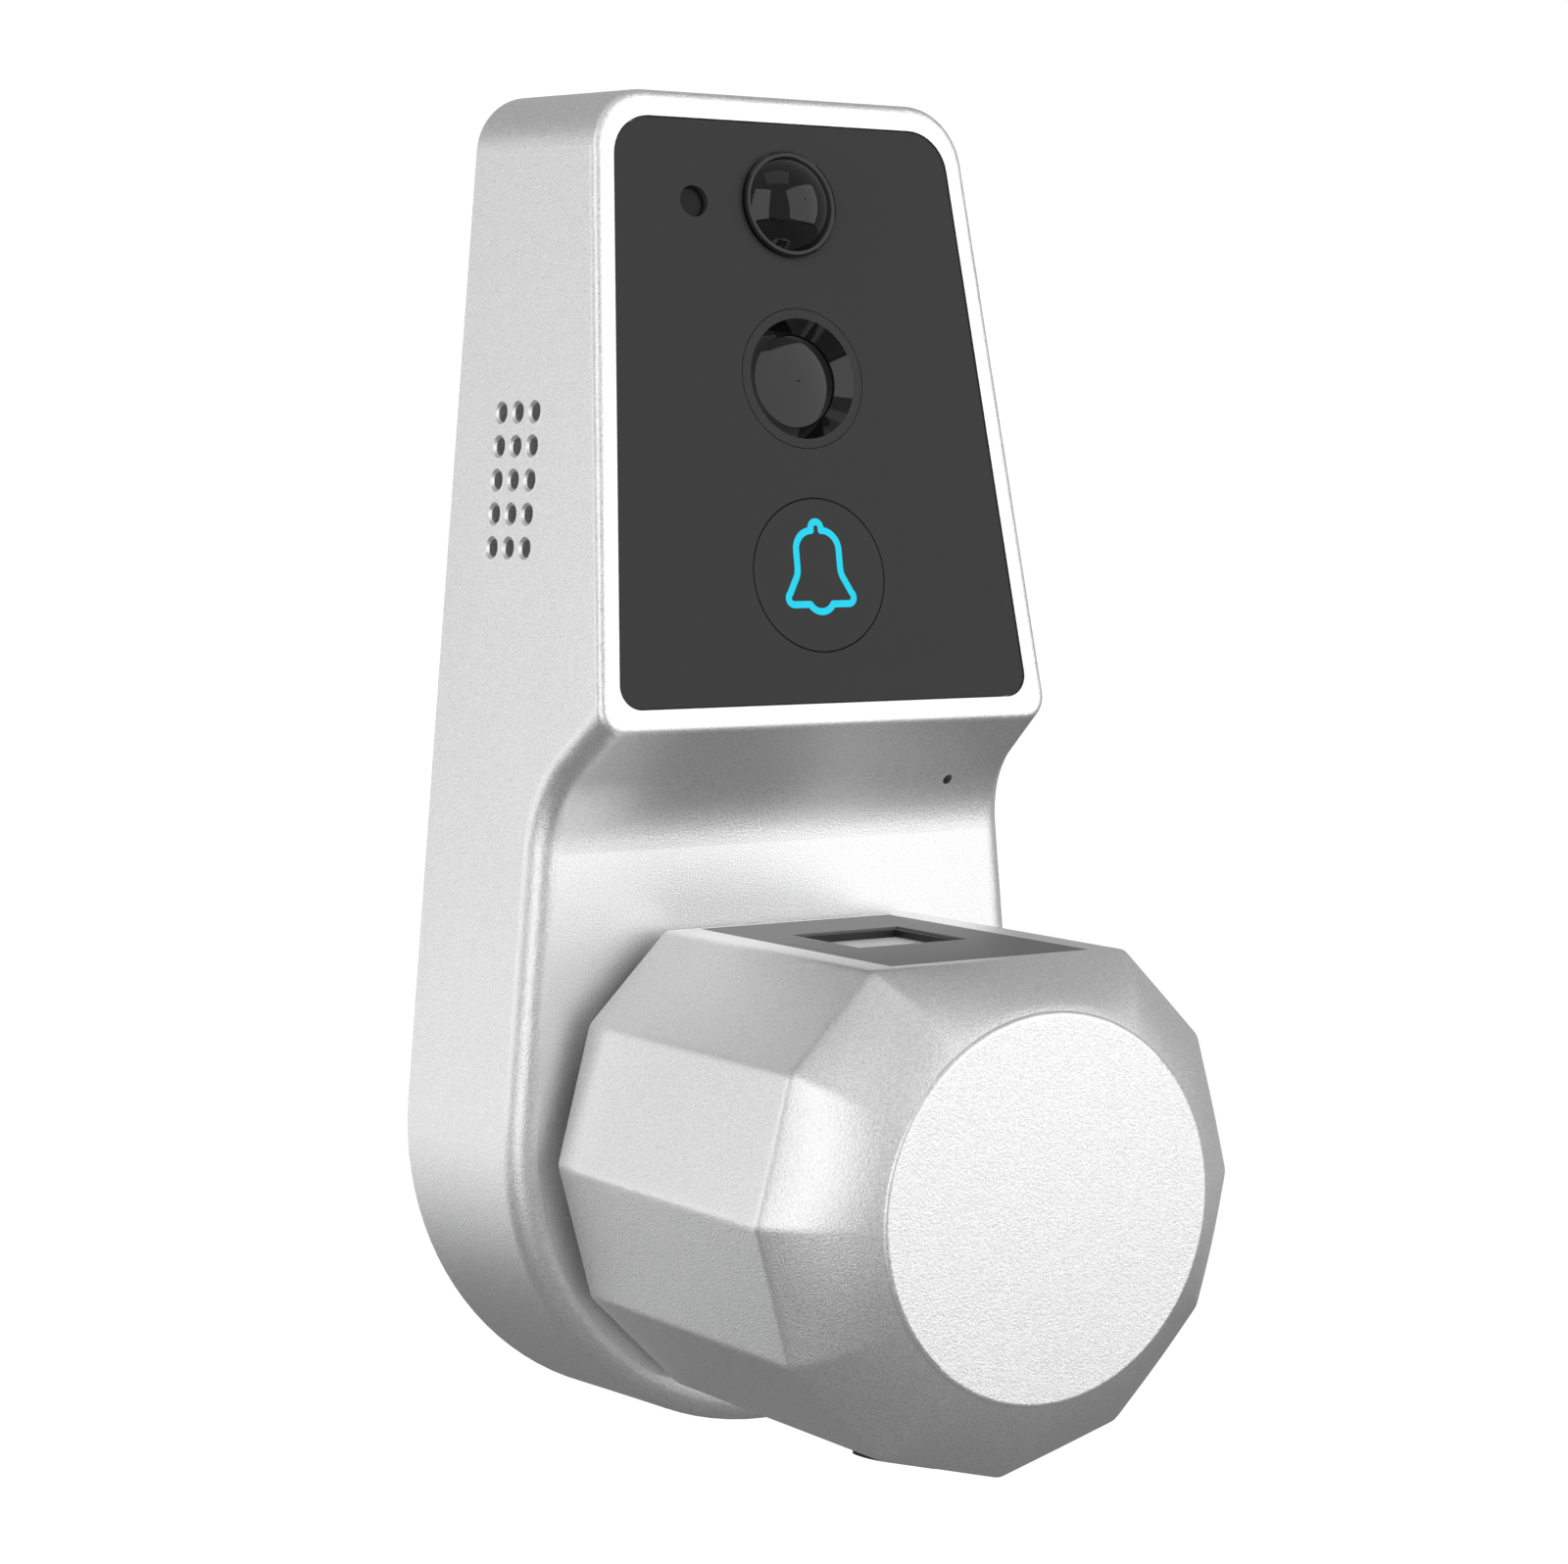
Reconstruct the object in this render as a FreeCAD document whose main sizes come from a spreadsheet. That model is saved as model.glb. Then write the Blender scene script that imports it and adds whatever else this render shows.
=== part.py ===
import FreeCAD, Part
import math
import os
import re
import Sketcher

# Video doorbell combined with a fingerprint door knob.
# Millimetres. The origin lies on the door face where the spindle passes through it:
# +X to the right as a visitor sees it, +Y into the door, +Z up.

doc = FreeCAD.newDocument("VideoDoorbell")
sheet = doc.addObject("Spreadsheet::Sheet", "Dim")

DIMENSIONS = {
    # housing outline on the door: a round bottom, two tangent sides, a level top
    "bodyRadius": 35.3,
    "bodyCentre": 1.0,
    "bodyTop": 118.1,
    "sideTaper": 5.2,
    "topCorner": 7.0,
    "wallDraft": 2.7,
    "blankDepth": 52.0,
    "wall": 2.0,
    "frontWall": 3.0,
    # side profile: upright lower face, scoop under the panel, panel face leaning back
    "lowerDepth": 24.0,
    "scoopHeight": 39.1,
    "scoopAngle": 53.13,
    "scoopRadius": 11.0,
    "panelDepth": 35.14,
    "panelHeight": 47.5,
    "panelLean": 8.95,
    "bodyEdge": 2.9,
    "faceEdge": 1.0,
    # dark front panel, measured up the slope from the foot of the panel face
    "panelLow": 2.53,
    "panelHigh": 67.3,
    "panelLowHalf": 26.7,
    "panelHighHalf": 21.4,
    "panelLowCorner": 2.5,
    "panelHighCorner": 4.8,
    "panelThick": 1.4,
    "panelSunk": 0.15,
    "panelGap": 0.15,
    "ledge": 2.0,
    "carrierThick": 1.5,
    # features along the centre line of the panel
    "buttonAt": 16.7,
    "buttonRadius": 8.5,
    "buttonGap": 0.15,
    "cameraAt": 38.7,
    "bezelRadius": 7.9,
    "apertureRadius": 6.77,
    "lensSeat": 5.25,
    "barrelRadius": 5.8,
    "motionAt": 58.2,
    "motionRadius": 5.95,
    "motionHeight": 3.5,
    "lightAside": 12.2,
    "lightRadius": 1.75,
    "iconStroke": 0.78,
    "iconDeep": 0.3,
    # boards
    "boardThick": 1.6,
    "boardHalf": 13.8,
    "frontBoardAt": 8.0,
    "mainBoardAt": 10.0,
    "mainBoardLow": 21.0,
    "mainBoardHigh": 104.0,
    # back plate and door fixing
    "backThick": 1.5,
    "gasketThick": 1.0,
    "postAside": 22.0,
    "postRadius": 4.0,
    "postBore": 2.1,
    "postLong": 12.0,
    "screwRadius": 1.5,
    "bossRadius": 3.4,
    # knob: a twelve-sided prism with a loft to a round end face
    "knobSides": 12,
    "knobRear": 26.5,
    "knobRim": 67.0,
    "knobFront": 75.9,
    "knobCorner": 30.35,
    "knobDraft": 0.5,
    "knobShoulder": 27.7,
    "knobShoulderAt": 69.8,
    "knobDisc": 20.5,
    "capThick": 1.9,
    "knobFlat": 24.84,
    "roofThick": 2.44,
    "hollowRadius": 26.9,
    "knobBossCircle": 21.5,
    "flangeScrewCircle": 10.6,
    "baseThick": 2.0,
    # fingerprint reader on the knob's flat
    "readerHalf": 12.6,
    "readerRear": 27.4,
    "readerFront": 65.3,
    "readerThick": 1.2,
    "windowHalf": 7.0,
    "windowRear": 37.5,
    "windowFront": 51.0,
    "bezelLedge": 0.7,
    "bezelSunk": 0.25,
    "sensorSunk": 1.05,
    # drive line
    "shaftRadius": 8.0,
    "shaftBore": 6.2,
    "shaftEnd": 8.0,
    "bushRadius": 10.5,
    "bushFlange": 15.0,
    "runningGap": 0.06,
    "stopRadius": 13.0,
    "stopPin": 1.5,
    "stopAngle": 83.0,
    "springRadius": 9.8,
    "springWire": 1.2,
    "springPitch": 1.35,
    "hubRadius": 5.9,
    "spindleSide": 8.0,
    "spindleEnd": 38.0,
    # emergency supply port under the knob
    "portAt": 59.0,
    "portHalf": 5.2,
    "portRadius": 2.1,
    "portProud": 0.7,
    "slotLong": 7.6,
    "slotHigh": 2.8,
    # sound
    "speakerAt": 74.5,
    "speakerDepth": 13.3,
    "speakerRadius": 9.6,
    "holePitch": 3.75,
    "holeColumn": 3.53,
    "holeRadius": 1.0,
    "holeMouth": 1.3,
}

for row, (alias, number) in enumerate(DIMENSIONS.items(), start=1):
    sheet.set(f"A{row}", alias)
    sheet.set(f"B{row}", str(number))
    sheet.setAlias(f"B{row}", alias)
doc.recompute()

subparts = []


def bound(text):
    """The expression with each dimension's name pointed at the sheet."""
    return re.sub(
        r"[A-Za-z]\w*",
        lambda word: f"Dim.{word.group()}" if word.group() in DIMENSIONS else word.group(),
        str(text),
    )


def size(text):
    """The present value of an expression."""
    return float(sheet.evalExpression(bound(text)))


def tie(item, **bindings):
    """Bind properties of an object to expressions on the sheet."""
    for name, text in bindings.items():
        item.setExpression(name, bound(text))


def vector(x, y, z):
    return FreeCAD.Vector(size(x), size(y), size(z))


def turn(axis, angle):
    return FreeCAD.Rotation(FreeCAD.Vector(*axis), angle)


def placed(x, y, z, rotation=FreeCAD.Rotation()):
    return FreeCAD.Placement(vector(x, y, z), rotation)


# local z of a FORWARD frame points out of the door towards the visitor, local y points up
FORWARD = turn((1, 0, 0), 90)
# local z of an INWARD frame points into the door, local y points down
INWARD = turn((1, 0, 0), -90)
# frame on the foot of the panel face: x to the right, y up the slope, z out of the panel
PANEL = placed("0", "-panelDepth", "panelHeight", turn((1, 0, 0), 90 - size("panelLean")))


def on_panel(across, up, out, rotation=FreeCAD.Rotation()):
    return PANEL.multiply(placed(across, up, out, rotation))


def subpart(node, item):
    """Name a finished piece and list it for export."""
    item.Label = node
    subparts.append(item)
    return item


def joined(name, *items):
    fuse = doc.addObject("Part::MultiFuse", name)
    fuse.Shapes = list(items)
    return fuse


def cut(name, base, *tools):
    """The base with every tool taken away."""
    item = doc.addObject("Part::Cut", name)
    item.Base = base
    item.Tool = tools[0] if len(tools) == 1 else joined(name + "_tools", *tools)
    return item


def cylinder(name, radius, height, placement):
    item = doc.addObject("Part::Cylinder", name)
    tie(item, Radius=radius, Height=height)
    item.Placement = placement
    return item


def block(name, length, width, height, placement):
    """A box centred on its placement in x and y that rises along z."""
    item = doc.addObject("Part::Box", name)
    tie(item, Length=length, Width=width, Height=height)
    item.Placement = placement.multiply(placed(f"-({length}) / 2", f"-({width}) / 2", "0"))
    return item


def tube(name, outer, inner, height, placement):
    return cut(
        name,
        cylinder(name + "_outside", outer, height, placement),
        cylinder(name + "_bore", inner, height, placement),
    )


def plane(body, role):
    return [feature for feature in body.Origin.OriginFeatures if feature.Role == role][0]


def sketch_on(body, name, role):
    sketch = body.newObject("Sketcher::SketchObject", name)
    sketch.AttachmentSupport = [(plane(body, role), "")]
    sketch.MapMode = "FlatFace"
    return sketch


def hold(sketch, geometry, corner, across, up):
    """Fix one end of an edge at a position given by two expressions."""
    for kind, axis, text in (("DistanceX", -2, across), ("DistanceY", -1, up)):
        if str(text) == "0":
            sketch.addConstraint(Sketcher.Constraint("PointOnObject", geometry, corner, axis))
        else:
            number = sketch.addConstraint(Sketcher.Constraint(kind, -1, 1, geometry, corner, size(text)))
            sketch.setExpression(f"Constraints[{number}]", bound(text))


def outline(sketch, points):
    """A closed outline of straight edges through the given points."""
    values = [vector(across, up, "0") for across, up in points]
    first = sketch.GeometryCount
    for start, end in zip(values, values[1:] + values[:1]):
        sketch.addGeometry(Part.LineSegment(start, end), False)
    for index in range(len(points)):
        following = first + (index + 1) % len(points)
        sketch.addConstraint(Sketcher.Constraint("Coincident", first + index, 2, following, 1))
    for index, (across, up) in enumerate(points):
        hold(sketch, first + index, 1, across, up)


def ring(sketch, across, up, radius):
    """A circle at a position and of a radius given by expressions."""
    number = sketch.addGeometry(
        Part.Circle(vector(across, up, "0"), FreeCAD.Vector(0, 0, 1), size(radius)), False
    )
    hold(sketch, number, 3, across, up)
    constraint = sketch.addConstraint(Sketcher.Constraint("Radius", number, size(radius)))
    sketch.setExpression(f"Constraints[{constraint}]", bound(radius))


def turned(name, points, placement):
    """A turned piece: its half section as (radius, height) pairs, spun about local z."""
    body = doc.addObject("PartDesign::Body", name)
    sketch = sketch_on(body, name + "_section", "XZ_Plane")
    outline(sketch, points)
    spin = body.newObject("PartDesign::Revolution", name + "_spin")
    spin.Profile = sketch
    spin.ReferenceAxis = (sketch, ["V_Axis"])
    spin.Angle = 360
    body.Placement = placement
    return body


def plate(name, points, thick, placement, holes=()):
    """A flat piece cut to an outline in local x and y, with round holes, that rises along z."""
    body = doc.addObject("PartDesign::Body", name)
    sketch = sketch_on(body, name + "_outline", "XY_Plane")
    outline(sketch, points)
    for across, up, radius in holes:
        ring(sketch, across, up, radius)
    pad = body.newObject("PartDesign::Pad", name + "_pad")
    pad.Profile = sketch
    tie(pad, Length=thick)
    body.Placement = placement
    return body


def rounded(body, name, radius, chosen):
    """Round the edges of the body's latest feature that the test chooses."""
    doc.recompute()
    feature = body.Tip
    names = [f"Edge{number}" for number, edge in enumerate(feature.Shape.Edges, start=1) if chosen(edge)]
    fillet = body.newObject("PartDesign::Fillet", name)
    fillet.Base = (feature, names)
    tie(fillet, Radius=radius)
    return fillet


def middle(edge):
    return edge.valueAt((edge.FirstParameter + edge.LastParameter) / 2)


def runs_along(edge, axis):
    """Whether an edge runs from end to end within a few degrees of an axis."""
    if len(edge.Vertexes) < 2:
        return False
    span = edge.Vertexes[1].Point - edge.Vertexes[0].Point
    return abs(span.dot(axis)) > 0.99 * edge.Length


def trapezoid(inset):
    """Corners of the panel's outline drawn in by an inset, in the panel's own frame."""
    slope = "((panelLowHalf - panelHighHalf) / (panelHigh - panelLow))"
    low_half = f"(panelLowHalf - ({inset}) * (1 + {slope}))"
    high_half = f"(panelHighHalf - ({inset}) * (1 - {slope}))"
    return [
        (f"-{low_half}", f"panelLow + ({inset})"),
        (low_half, f"panelLow + ({inset})"),
        (high_half, f"panelHigh - ({inset})"),
        (f"-{high_half}", f"panelHigh - ({inset})"),
    ]


def panel_plate(name, inset, out, thick, holes=()):
    """A plate that follows the panel's outline, its lower face at a distance out of the panel face."""
    body = plate(name, trapezoid(inset), thick, on_panel("0", "0", out), holes)
    upright = FreeCAD.Vector(0, 0, 1)
    half_way = size("(panelLow + panelHigh) / 2")
    for side, radius in (("low", "panelLowCorner"), ("high", "panelHighCorner")):
        rounded(
            body, f"{name}_{side}_corners", f"{radius} - ({inset}) * 0.6",
            lambda edge: runs_along(edge, upright) and (middle(edge).y < half_way) == (side == "low"),
        )
    return body


# ---------------------------------------------------------------- housing

def housing_outline(sketch, inset):
    """The housing's outline drawn in by an inset: a round bottom with two tangent sides up to a level top."""
    radius = f"(bodyRadius - ({inset}))"
    top = f"(bodyTop - ({inset}))"
    half_top = f"(({radius} - ({top} - bodyCentre) * sin(sideTaper)) / cos(sideTaper))"
    reach = size(radius)
    taper = math.radians(size("sideTaper"))
    centre = vector("0", "bodyCentre", "0")
    right_foot = centre + FreeCAD.Vector(reach * math.cos(taper), reach * math.sin(taper), 0)
    left_foot = FreeCAD.Vector(-right_foot.x, right_foot.y, 0)
    right_top = vector(half_top, top, "0")
    left_top = vector(f"-{half_top}", top, "0")
    circle = Part.Circle(centre, FreeCAD.Vector(0, 0, 1), reach)
    sketch.addGeometry(Part.ArcOfCircle(circle, math.pi - taper, 2 * math.pi + taper), False)
    sketch.addGeometry(Part.LineSegment(right_foot, right_top), False)
    sketch.addGeometry(Part.LineSegment(right_top, left_top), False)
    sketch.addGeometry(Part.LineSegment(left_top, left_foot), False)
    sketch.addConstraint(Sketcher.Constraint("Tangent", 0, 2, 1, 1))
    sketch.addConstraint(Sketcher.Constraint("Coincident", 1, 2, 2, 1))
    sketch.addConstraint(Sketcher.Constraint("Coincident", 2, 2, 3, 1))
    sketch.addConstraint(Sketcher.Constraint("Tangent", 3, 2, 0, 1))
    sketch.addConstraint(Sketcher.Constraint("PointOnObject", 0, 3, -2))
    for kind, place, text in (
        ("Radius", (0,), radius),
        ("DistanceY", (-1, 1, 0, 3), "bodyCentre"),
        ("DistanceX", (-1, 1, 1, 2), half_top),
        ("DistanceY", (-1, 1, 1, 2), top),
        ("DistanceX", (-1, 1, 3, 1), f"-{half_top}"),
        ("DistanceY", (-1, 1, 3, 1), top),
    ):
        number = sketch.addConstraint(Sketcher.Constraint(kind, *place, size(text)))
        sketch.setExpression(f"Constraints[{number}]", bound(text))


def back_sheet(name, inset, thick):
    """A flat sheet against the door that follows the housing's outline."""
    body = doc.addObject("PartDesign::Body", name)
    sketch = sketch_on(body, name + "_outline", "XZ_Plane")
    housing_outline(sketch, inset)
    pad = body.newObject("PartDesign::Pad", name + "_pad")
    pad.Profile = sketch
    tie(pad, Length=thick)
    forward = FreeCAD.Vector(0, 1, 0)
    rounded(
        body, name + "_top_corners", f"topCorner - ({inset})",
        lambda edge: runs_along(edge, forward) and middle(edge).z > size("bodyTop - 20"),
    )
    return body


def housing_form(name, inset, front_inset, edges):
    """The housing's outer form drawn in by an inset: a drafted blank cut to the side profile."""
    body = doc.addObject("PartDesign::Body", name)
    sketch = sketch_on(body, name + "_outline", "XZ_Plane")
    housing_outline(sketch, inset)
    pad = body.newObject("PartDesign::Pad", name + "_blank")
    pad.Profile = sketch
    tie(pad, Length="blankDepth", TaperAngle="-wallDraft")
    forward = FreeCAD.Vector(0, 1, 0)
    rounded(
        body, name + "_top_corners", f"topCorner - {inset}",
        lambda edge: runs_along(edge, forward) and middle(edge).z > size("bodyTop - 20"),
    )

    # lower face and scoop
    corner = f"(scoopHeight + ({inset}) * tan(scoopAngle / 2))"
    depth = f"(lowerDepth - {inset})"
    scoop = sketch_on(body, name + "_scoop_profile", "YZ_Plane")
    outline(scoop, [
        ("-90", "-60"),
        (f"-{depth}", "-60"),
        (f"-{depth}", corner),
        ("-90", f"{corner} + (90 - {depth}) / tan(scoopAngle)"),
    ])
    carve = body.newObject("PartDesign::Pocket", name + "_scoop")
    carve.Profile = scoop
    carve.Length = 120
    carve.Midplane = True
    across = FreeCAD.Vector(1, 0, 0)
    rounded(
        body, name + "_scoop_round", f"scoopRadius + {inset}",
        lambda edge: runs_along(edge, across) and abs(middle(edge).z - size(corner)) < 0.1,
    )
    if edges:
        # the lower face, the scoop and its round share one soft edge with the side walls
        doc.recompute()
        shape = body.Tip.Shape
        carved = [
            face for face in shape.Faces
            if abs(face.normalAt(0, 0).x) < 0.001 and face.CenterOfMass.y > -size("blankDepth") + 1
            and face.CenterOfMass.y < -size("lowerDepth") + 0.1 and face.normalAt(0, 0).z < 0.5
        ]

        def is_rim(edge):
            owners = [face for face in carved if any(edge.isSame(other) for other in face.Edges)]
            return len(owners) == 1 and middle(edge).y > -size("blankDepth") + 0.1

        rounded(body, name + "_soft_edge", "bodyEdge", is_rim)

    # leaning panel face
    rise = "tan(panelLean)"
    front = f"(panelDepth - ({front_inset}) / cos(panelLean))"
    face_cut = sketch_on(body, name + "_face_profile", "YZ_Plane")
    outline(face_cut, [
        ("-90", "-60"),
        (f"-({front} + (60 + panelHeight) * {rise})", "-60"),
        (f"-({front} - (140 - panelHeight) * {rise})", "140"),
        ("-90", "140"),
    ])
    trim = body.newObject("PartDesign::Pocket", name + "_face")
    trim.Profile = face_cut
    trim.Length = 120
    trim.Midplane = True
    if edges:
        def on_face(edge):
            point = PANEL.inverse().multVec(middle(edge))
            return abs(point.z) < 0.01

        rounded(body, name + "_face_edge", "faceEdge", on_face)
    return body


housing_outer = housing_form("housing_outer", "0", "0", True)
housing_inner = housing_form("housing_inner", "wall", "frontWall", False)

panel_recess = panel_plate("panel_recess", "-panelGap", "-(panelSunk + panelThick)", "5")
panel_window = panel_plate("panel_window", "ledge", "-6", "5")

hollow = cut("housing_hollow", housing_outer, housing_inner)

# screw bosses stand on the inside of the front wall and are trimmed to the outer form
BOSSES = [("21.9", "-15.7"), ("-21.9", "-15.7"), ("17.6", "110.2"), ("-17.6", "110.2")]
bosses = [
    cylinder(f"boss_{number}", "bossRadius", "panelDepth - backThick", placed(x, "-backThick", z, FORWARD))
    for number, (x, z) in enumerate(BOSSES)
]
boss_group = joined("boss_group", *bosses)
trimmed_bosses = doc.addObject("Part::Common", "trimmed_bosses")
trimmed_bosses.Base = boss_group
trimmed_bosses.Tool = housing_form("housing_boss_limit", "1", "panelSunk + panelThick + 0.6", False)
hollow_with_bosses = joined("housing_with_bosses", hollow, trimmed_bosses)

screw_holes = [
    cylinder(f"boss_hole_{number}", "screwRadius", "14 - backThick", placed(x, "-backThick", z, FORWARD))
    for number, (x, z) in enumerate(BOSSES)
]
bush_hole = cylinder("bush_hole", "bushRadius", "10", placed("0", "-lowerDepth + 5", "0", FORWARD))
pin_holes = [
    cylinder(
        f"pin_hole_{side}", "stopPin", "1.2",
        placed(
            f"{side} * stopRadius * sin(stopAngle)", "-lowerDepth + wall",
            "-stopRadius * cos(stopAngle)", FORWARD,
        ),
    )
    for side in (-1, 1)
]
mic_hole = cylinder("mic_hole", "0.58", "12", placed("21.8", "-17.9", "39.9", turn((1, 0, 0), 90)))

# sound holes through the left wall, square to its slope
side_taper = math.radians(size("sideTaper"))
wall_draft = math.radians(size("wallDraft"))
wall_normal = FreeCAD.Vector(
    -math.cos(side_taper) * math.cos(wall_draft),
    -math.sin(wall_draft),
    math.sin(side_taper) * math.cos(wall_draft),
)
wall_frame = FreeCAD.Rotation(FreeCAD.Vector(0, 0, 1), wall_normal)
sound_holes = []
for row in range(-2, 3):
    for column in range(-1, 2):
        y = f"(-speakerDepth + {column} * holeColumn)"
        z = f"(speakerAt + {row} * holePitch)"
        half_width = f"(bodyRadius - ({z} - bodyCentre) * sin(sideTaper)) / cos(sideTaper)"
        wall_x = f"-({half_width} + {y} * tan(wallDraft))"
        drill = cylinder(
            f"sound_hole_{row + 3}_{column + 2}", "holeRadius", "8", placed(wall_x, y, z, wall_frame)
        )
        drill.Placement = drill.Placement.multiply(placed("0", "0", "-4"))
        sound_holes.append(drill)
        mouth = doc.addObject("Part::Cone", f"sound_mouth_{row + 3}_{column + 2}")
        tie(mouth, Radius1="holeRadius", Radius2="holeMouth + 0.3", Height="holeMouth + 0.3 - holeRadius")
        mouth.Placement = placed(wall_x, y, z, wall_frame).multiply(
            placed("0", "0", "-(holeMouth - holeRadius)")
        )
        sound_holes.append(mouth)

subpart("housing_shell", cut(
    "housing_shell", hollow_with_bosses, panel_recess, panel_window, bush_hole, mic_hole,
    *screw_holes, *pin_holes, *sound_holes,
))


# ---------------------------------------------------------------- back plate and door fixing

POSTS = [("postAside", "0"), ("-postAside", "0")]
PILLARS = [("15", "26"), ("-15", "26"), ("15", "99"), ("-15", "99")]
GASKET_INSET = "wall + 1.2"
GASKET_WIDE = "1.4"

wall_gasket = cut(
    "wall_gasket",
    back_sheet("gasket_outside", GASKET_INSET, "gasketThick"),
    back_sheet("gasket_inside", f"{GASKET_INSET} + {GASKET_WIDE}", "gasketThick"),
)
gasket_groove = cut(
    "gasket_groove",
    back_sheet("groove_outside", GASKET_INSET, "gasketThick"),
    back_sheet("groove_inside", f"{GASKET_INSET} + {GASKET_WIDE}", "gasketThick"),
)
pillars = [
    cylinder(
        f"pillar_{number}", "2.5", "mainBoardAt - backThick / 2", placed(x, "-backThick / 2", z, FORWARD)
    )
    for number, (x, z) in enumerate(PILLARS)
]
pillar_holes = [
    cylinder(f"pillar_hole_{number}", "1", "5", placed(x, "-mainBoardAt + 4.4", z, FORWARD))
    for number, (x, z) in enumerate(PILLARS)
]
post_holes = [
    cylinder(f"post_hole_{number}", "postRadius", "10", placed(x, "5", z, FORWARD))
    for number, (x, z) in enumerate(POSTS)
]
bearing_hole = cylinder("bearing_hole", "8.5", "10", placed("0", "5", "0", FORWARD))
header_slot = block("header_slot", "10.4", "6.4", "10", placed("0", "5", "60", FORWARD))
SCREW_HEAD = [
    ("0", "-1"),
    ("2.9", "-1"),
    ("2.9", "0.1"),
    ("screwRadius", "backThick"),
    ("screwRadius", "4"),
    ("0", "4"),
]
countersinks = [
    turned(f"countersink_{number}", SCREW_HEAD, placed(x, "0", z, FORWARD))
    for number, (x, z) in enumerate(BOSSES)
]
plate_and_pillars = joined(
    "plate_and_pillars", back_sheet("back_sheet", "wall + 0.15", "backThick"), *pillars
)
subpart("back_plate", cut(
    "back_plate", plate_and_pillars, gasket_groove, bearing_hole, header_slot,
    *pillar_holes, *post_holes, *countersinks,
))
subpart("wall_gasket", wall_gasket)

SCREW = [("0", "0.1"), ("2.9", "0.1"), ("screwRadius", "backThick"), ("screwRadius", "12"), ("0", "12")]
subpart("back_plate_screws", joined("back_plate_screws", *[
    turned(f"back_screw_{number}", SCREW, placed(x, "0", z, FORWARD))
    for number, (x, z) in enumerate(BOSSES)
]))
POST = [
    ("postBore", "0"), ("postRadius", "0"), ("postRadius", "backThick"), ("postRadius + 1.5", "backThick"),
    ("postRadius + 1.5", "2.5"), ("postRadius", "2.5"), ("postRadius", "postLong"), ("0", "postLong"),
    ("0", "postLong - 1"), ("postBore", "postLong - 1"),
]
subpart("fixing_posts", joined("fixing_posts", *[
    turned(f"fixing_post_{number}", POST, placed(x, "0", z, FORWARD)) for number, (x, z) in enumerate(POSTS)
]))
subpart(
    "spindle_bearing",
    tube("spindle_bearing", "8.5", "hubRadius + runningGap", "5.4", placed("0", "0", "0", FORWARD)),
)

# ---------------------------------------------------------------- boards behind the panel

main_board = plate(
    "main_board_blank",
    [
        ("-18.5", "mainBoardLow"),
        ("18.5", "mainBoardLow"),
        ("18.5", "mainBoardHigh"),
        ("-18.5", "mainBoardHigh"),
    ],
    "boardThick", placed("0", "-mainBoardAt", "0", FORWARD), [(x, z, "1") for x, z in PILLARS],
)
subpart("main_board", main_board)
SMALL_SCREW = [
    ("0", "-4"), ("1", "-4"), ("1", "0"), ("1.9", "0"), ("1.9", "0.9"), ("1.4", "1.3"), ("0", "1.3")
]
subpart("main_board_screws", joined("main_board_screws", *[
    turned(f"main_screw_{number}", SMALL_SCREW, placed(x, "-(mainBoardAt + boardThick)", z, FORWARD))
    for number, (x, z) in enumerate(PILLARS)
]))
subpart("board_shield", block(
    "board_shield", "16", "20", "2.4", placed("0", "-(mainBoardAt + boardThick)", "46", FORWARD)
))
subpart(
    "cable_header",
    block("cable_header", "10", "6", "mainBoardAt - 0.6", placed("0", "-0.6", "60", FORWARD)),
)
subpart(
    "backup_cell",
    cylinder("backup_cell", "4.6", "24", placed("-12", "-16.9", "28.5", turn((0, 1, 0), 90))),
)

SPEAKER_SIDE = "(bodyRadius - (speakerAt - bodyCentre) * sin(sideTaper)) / cos(sideTaper)"
speaker_seat = placed(
    f"-({SPEAKER_SIDE} - speakerDepth * tan(wallDraft))", "-speakerDepth", "speakerAt", wall_frame
)
MESH_BACK = "-wall - 0.35"
subpart("speaker_mesh", block(
    "speaker_mesh", "4 * holePitch + 4", "2 * holeColumn + 4", "0.3",
    speaker_seat.multiply(placed("0", "0", MESH_BACK)),
))
subpart("speaker", turned("speaker", [
    ("0", "-7.6"), ("6.4", "-7.6"), ("6.4", "-5"), ("speakerRadius", "-3.8"),
    ("speakerRadius", f"{MESH_BACK} - 0.3"), ("0", f"{MESH_BACK} - 0.3"),
], speaker_seat))
subpart("speaker_gasket", tube(
    "speaker_gasket", "speakerRadius", "speakerRadius - 0.9", "0.3",
    speaker_seat.multiply(placed("0", "0", f"{MESH_BACK} - 0.3")),
))
subpart("microphone", cylinder("microphone", "2.2", "1.8", placed("21.8", "-19.8", "39.9", FORWARD)))

# ---------------------------------------------------------------- panel and what looks out through it

PANEL_BACK = "-(panelSunk + panelThick)"
CARRIER_BACK = "-(panelSunk + panelThick + carrierThick)"
FRONT_POSTS = [("11.6", "8.6"), ("-11.6", "8.6"), ("11.6", "50"), ("-11.6", "50")]

front_panel = panel_plate("front_panel_blank", "0", PANEL_BACK, "panelThick", [
    ("0", "buttonAt", "buttonRadius + buttonGap"),
    ("0", "cameraAt", "bezelRadius"),
    ("0", "motionAt", "motionRadius"),
    ("-lightAside", "motionAt", "lightRadius"),
])
subpart("front_panel", front_panel)

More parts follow.
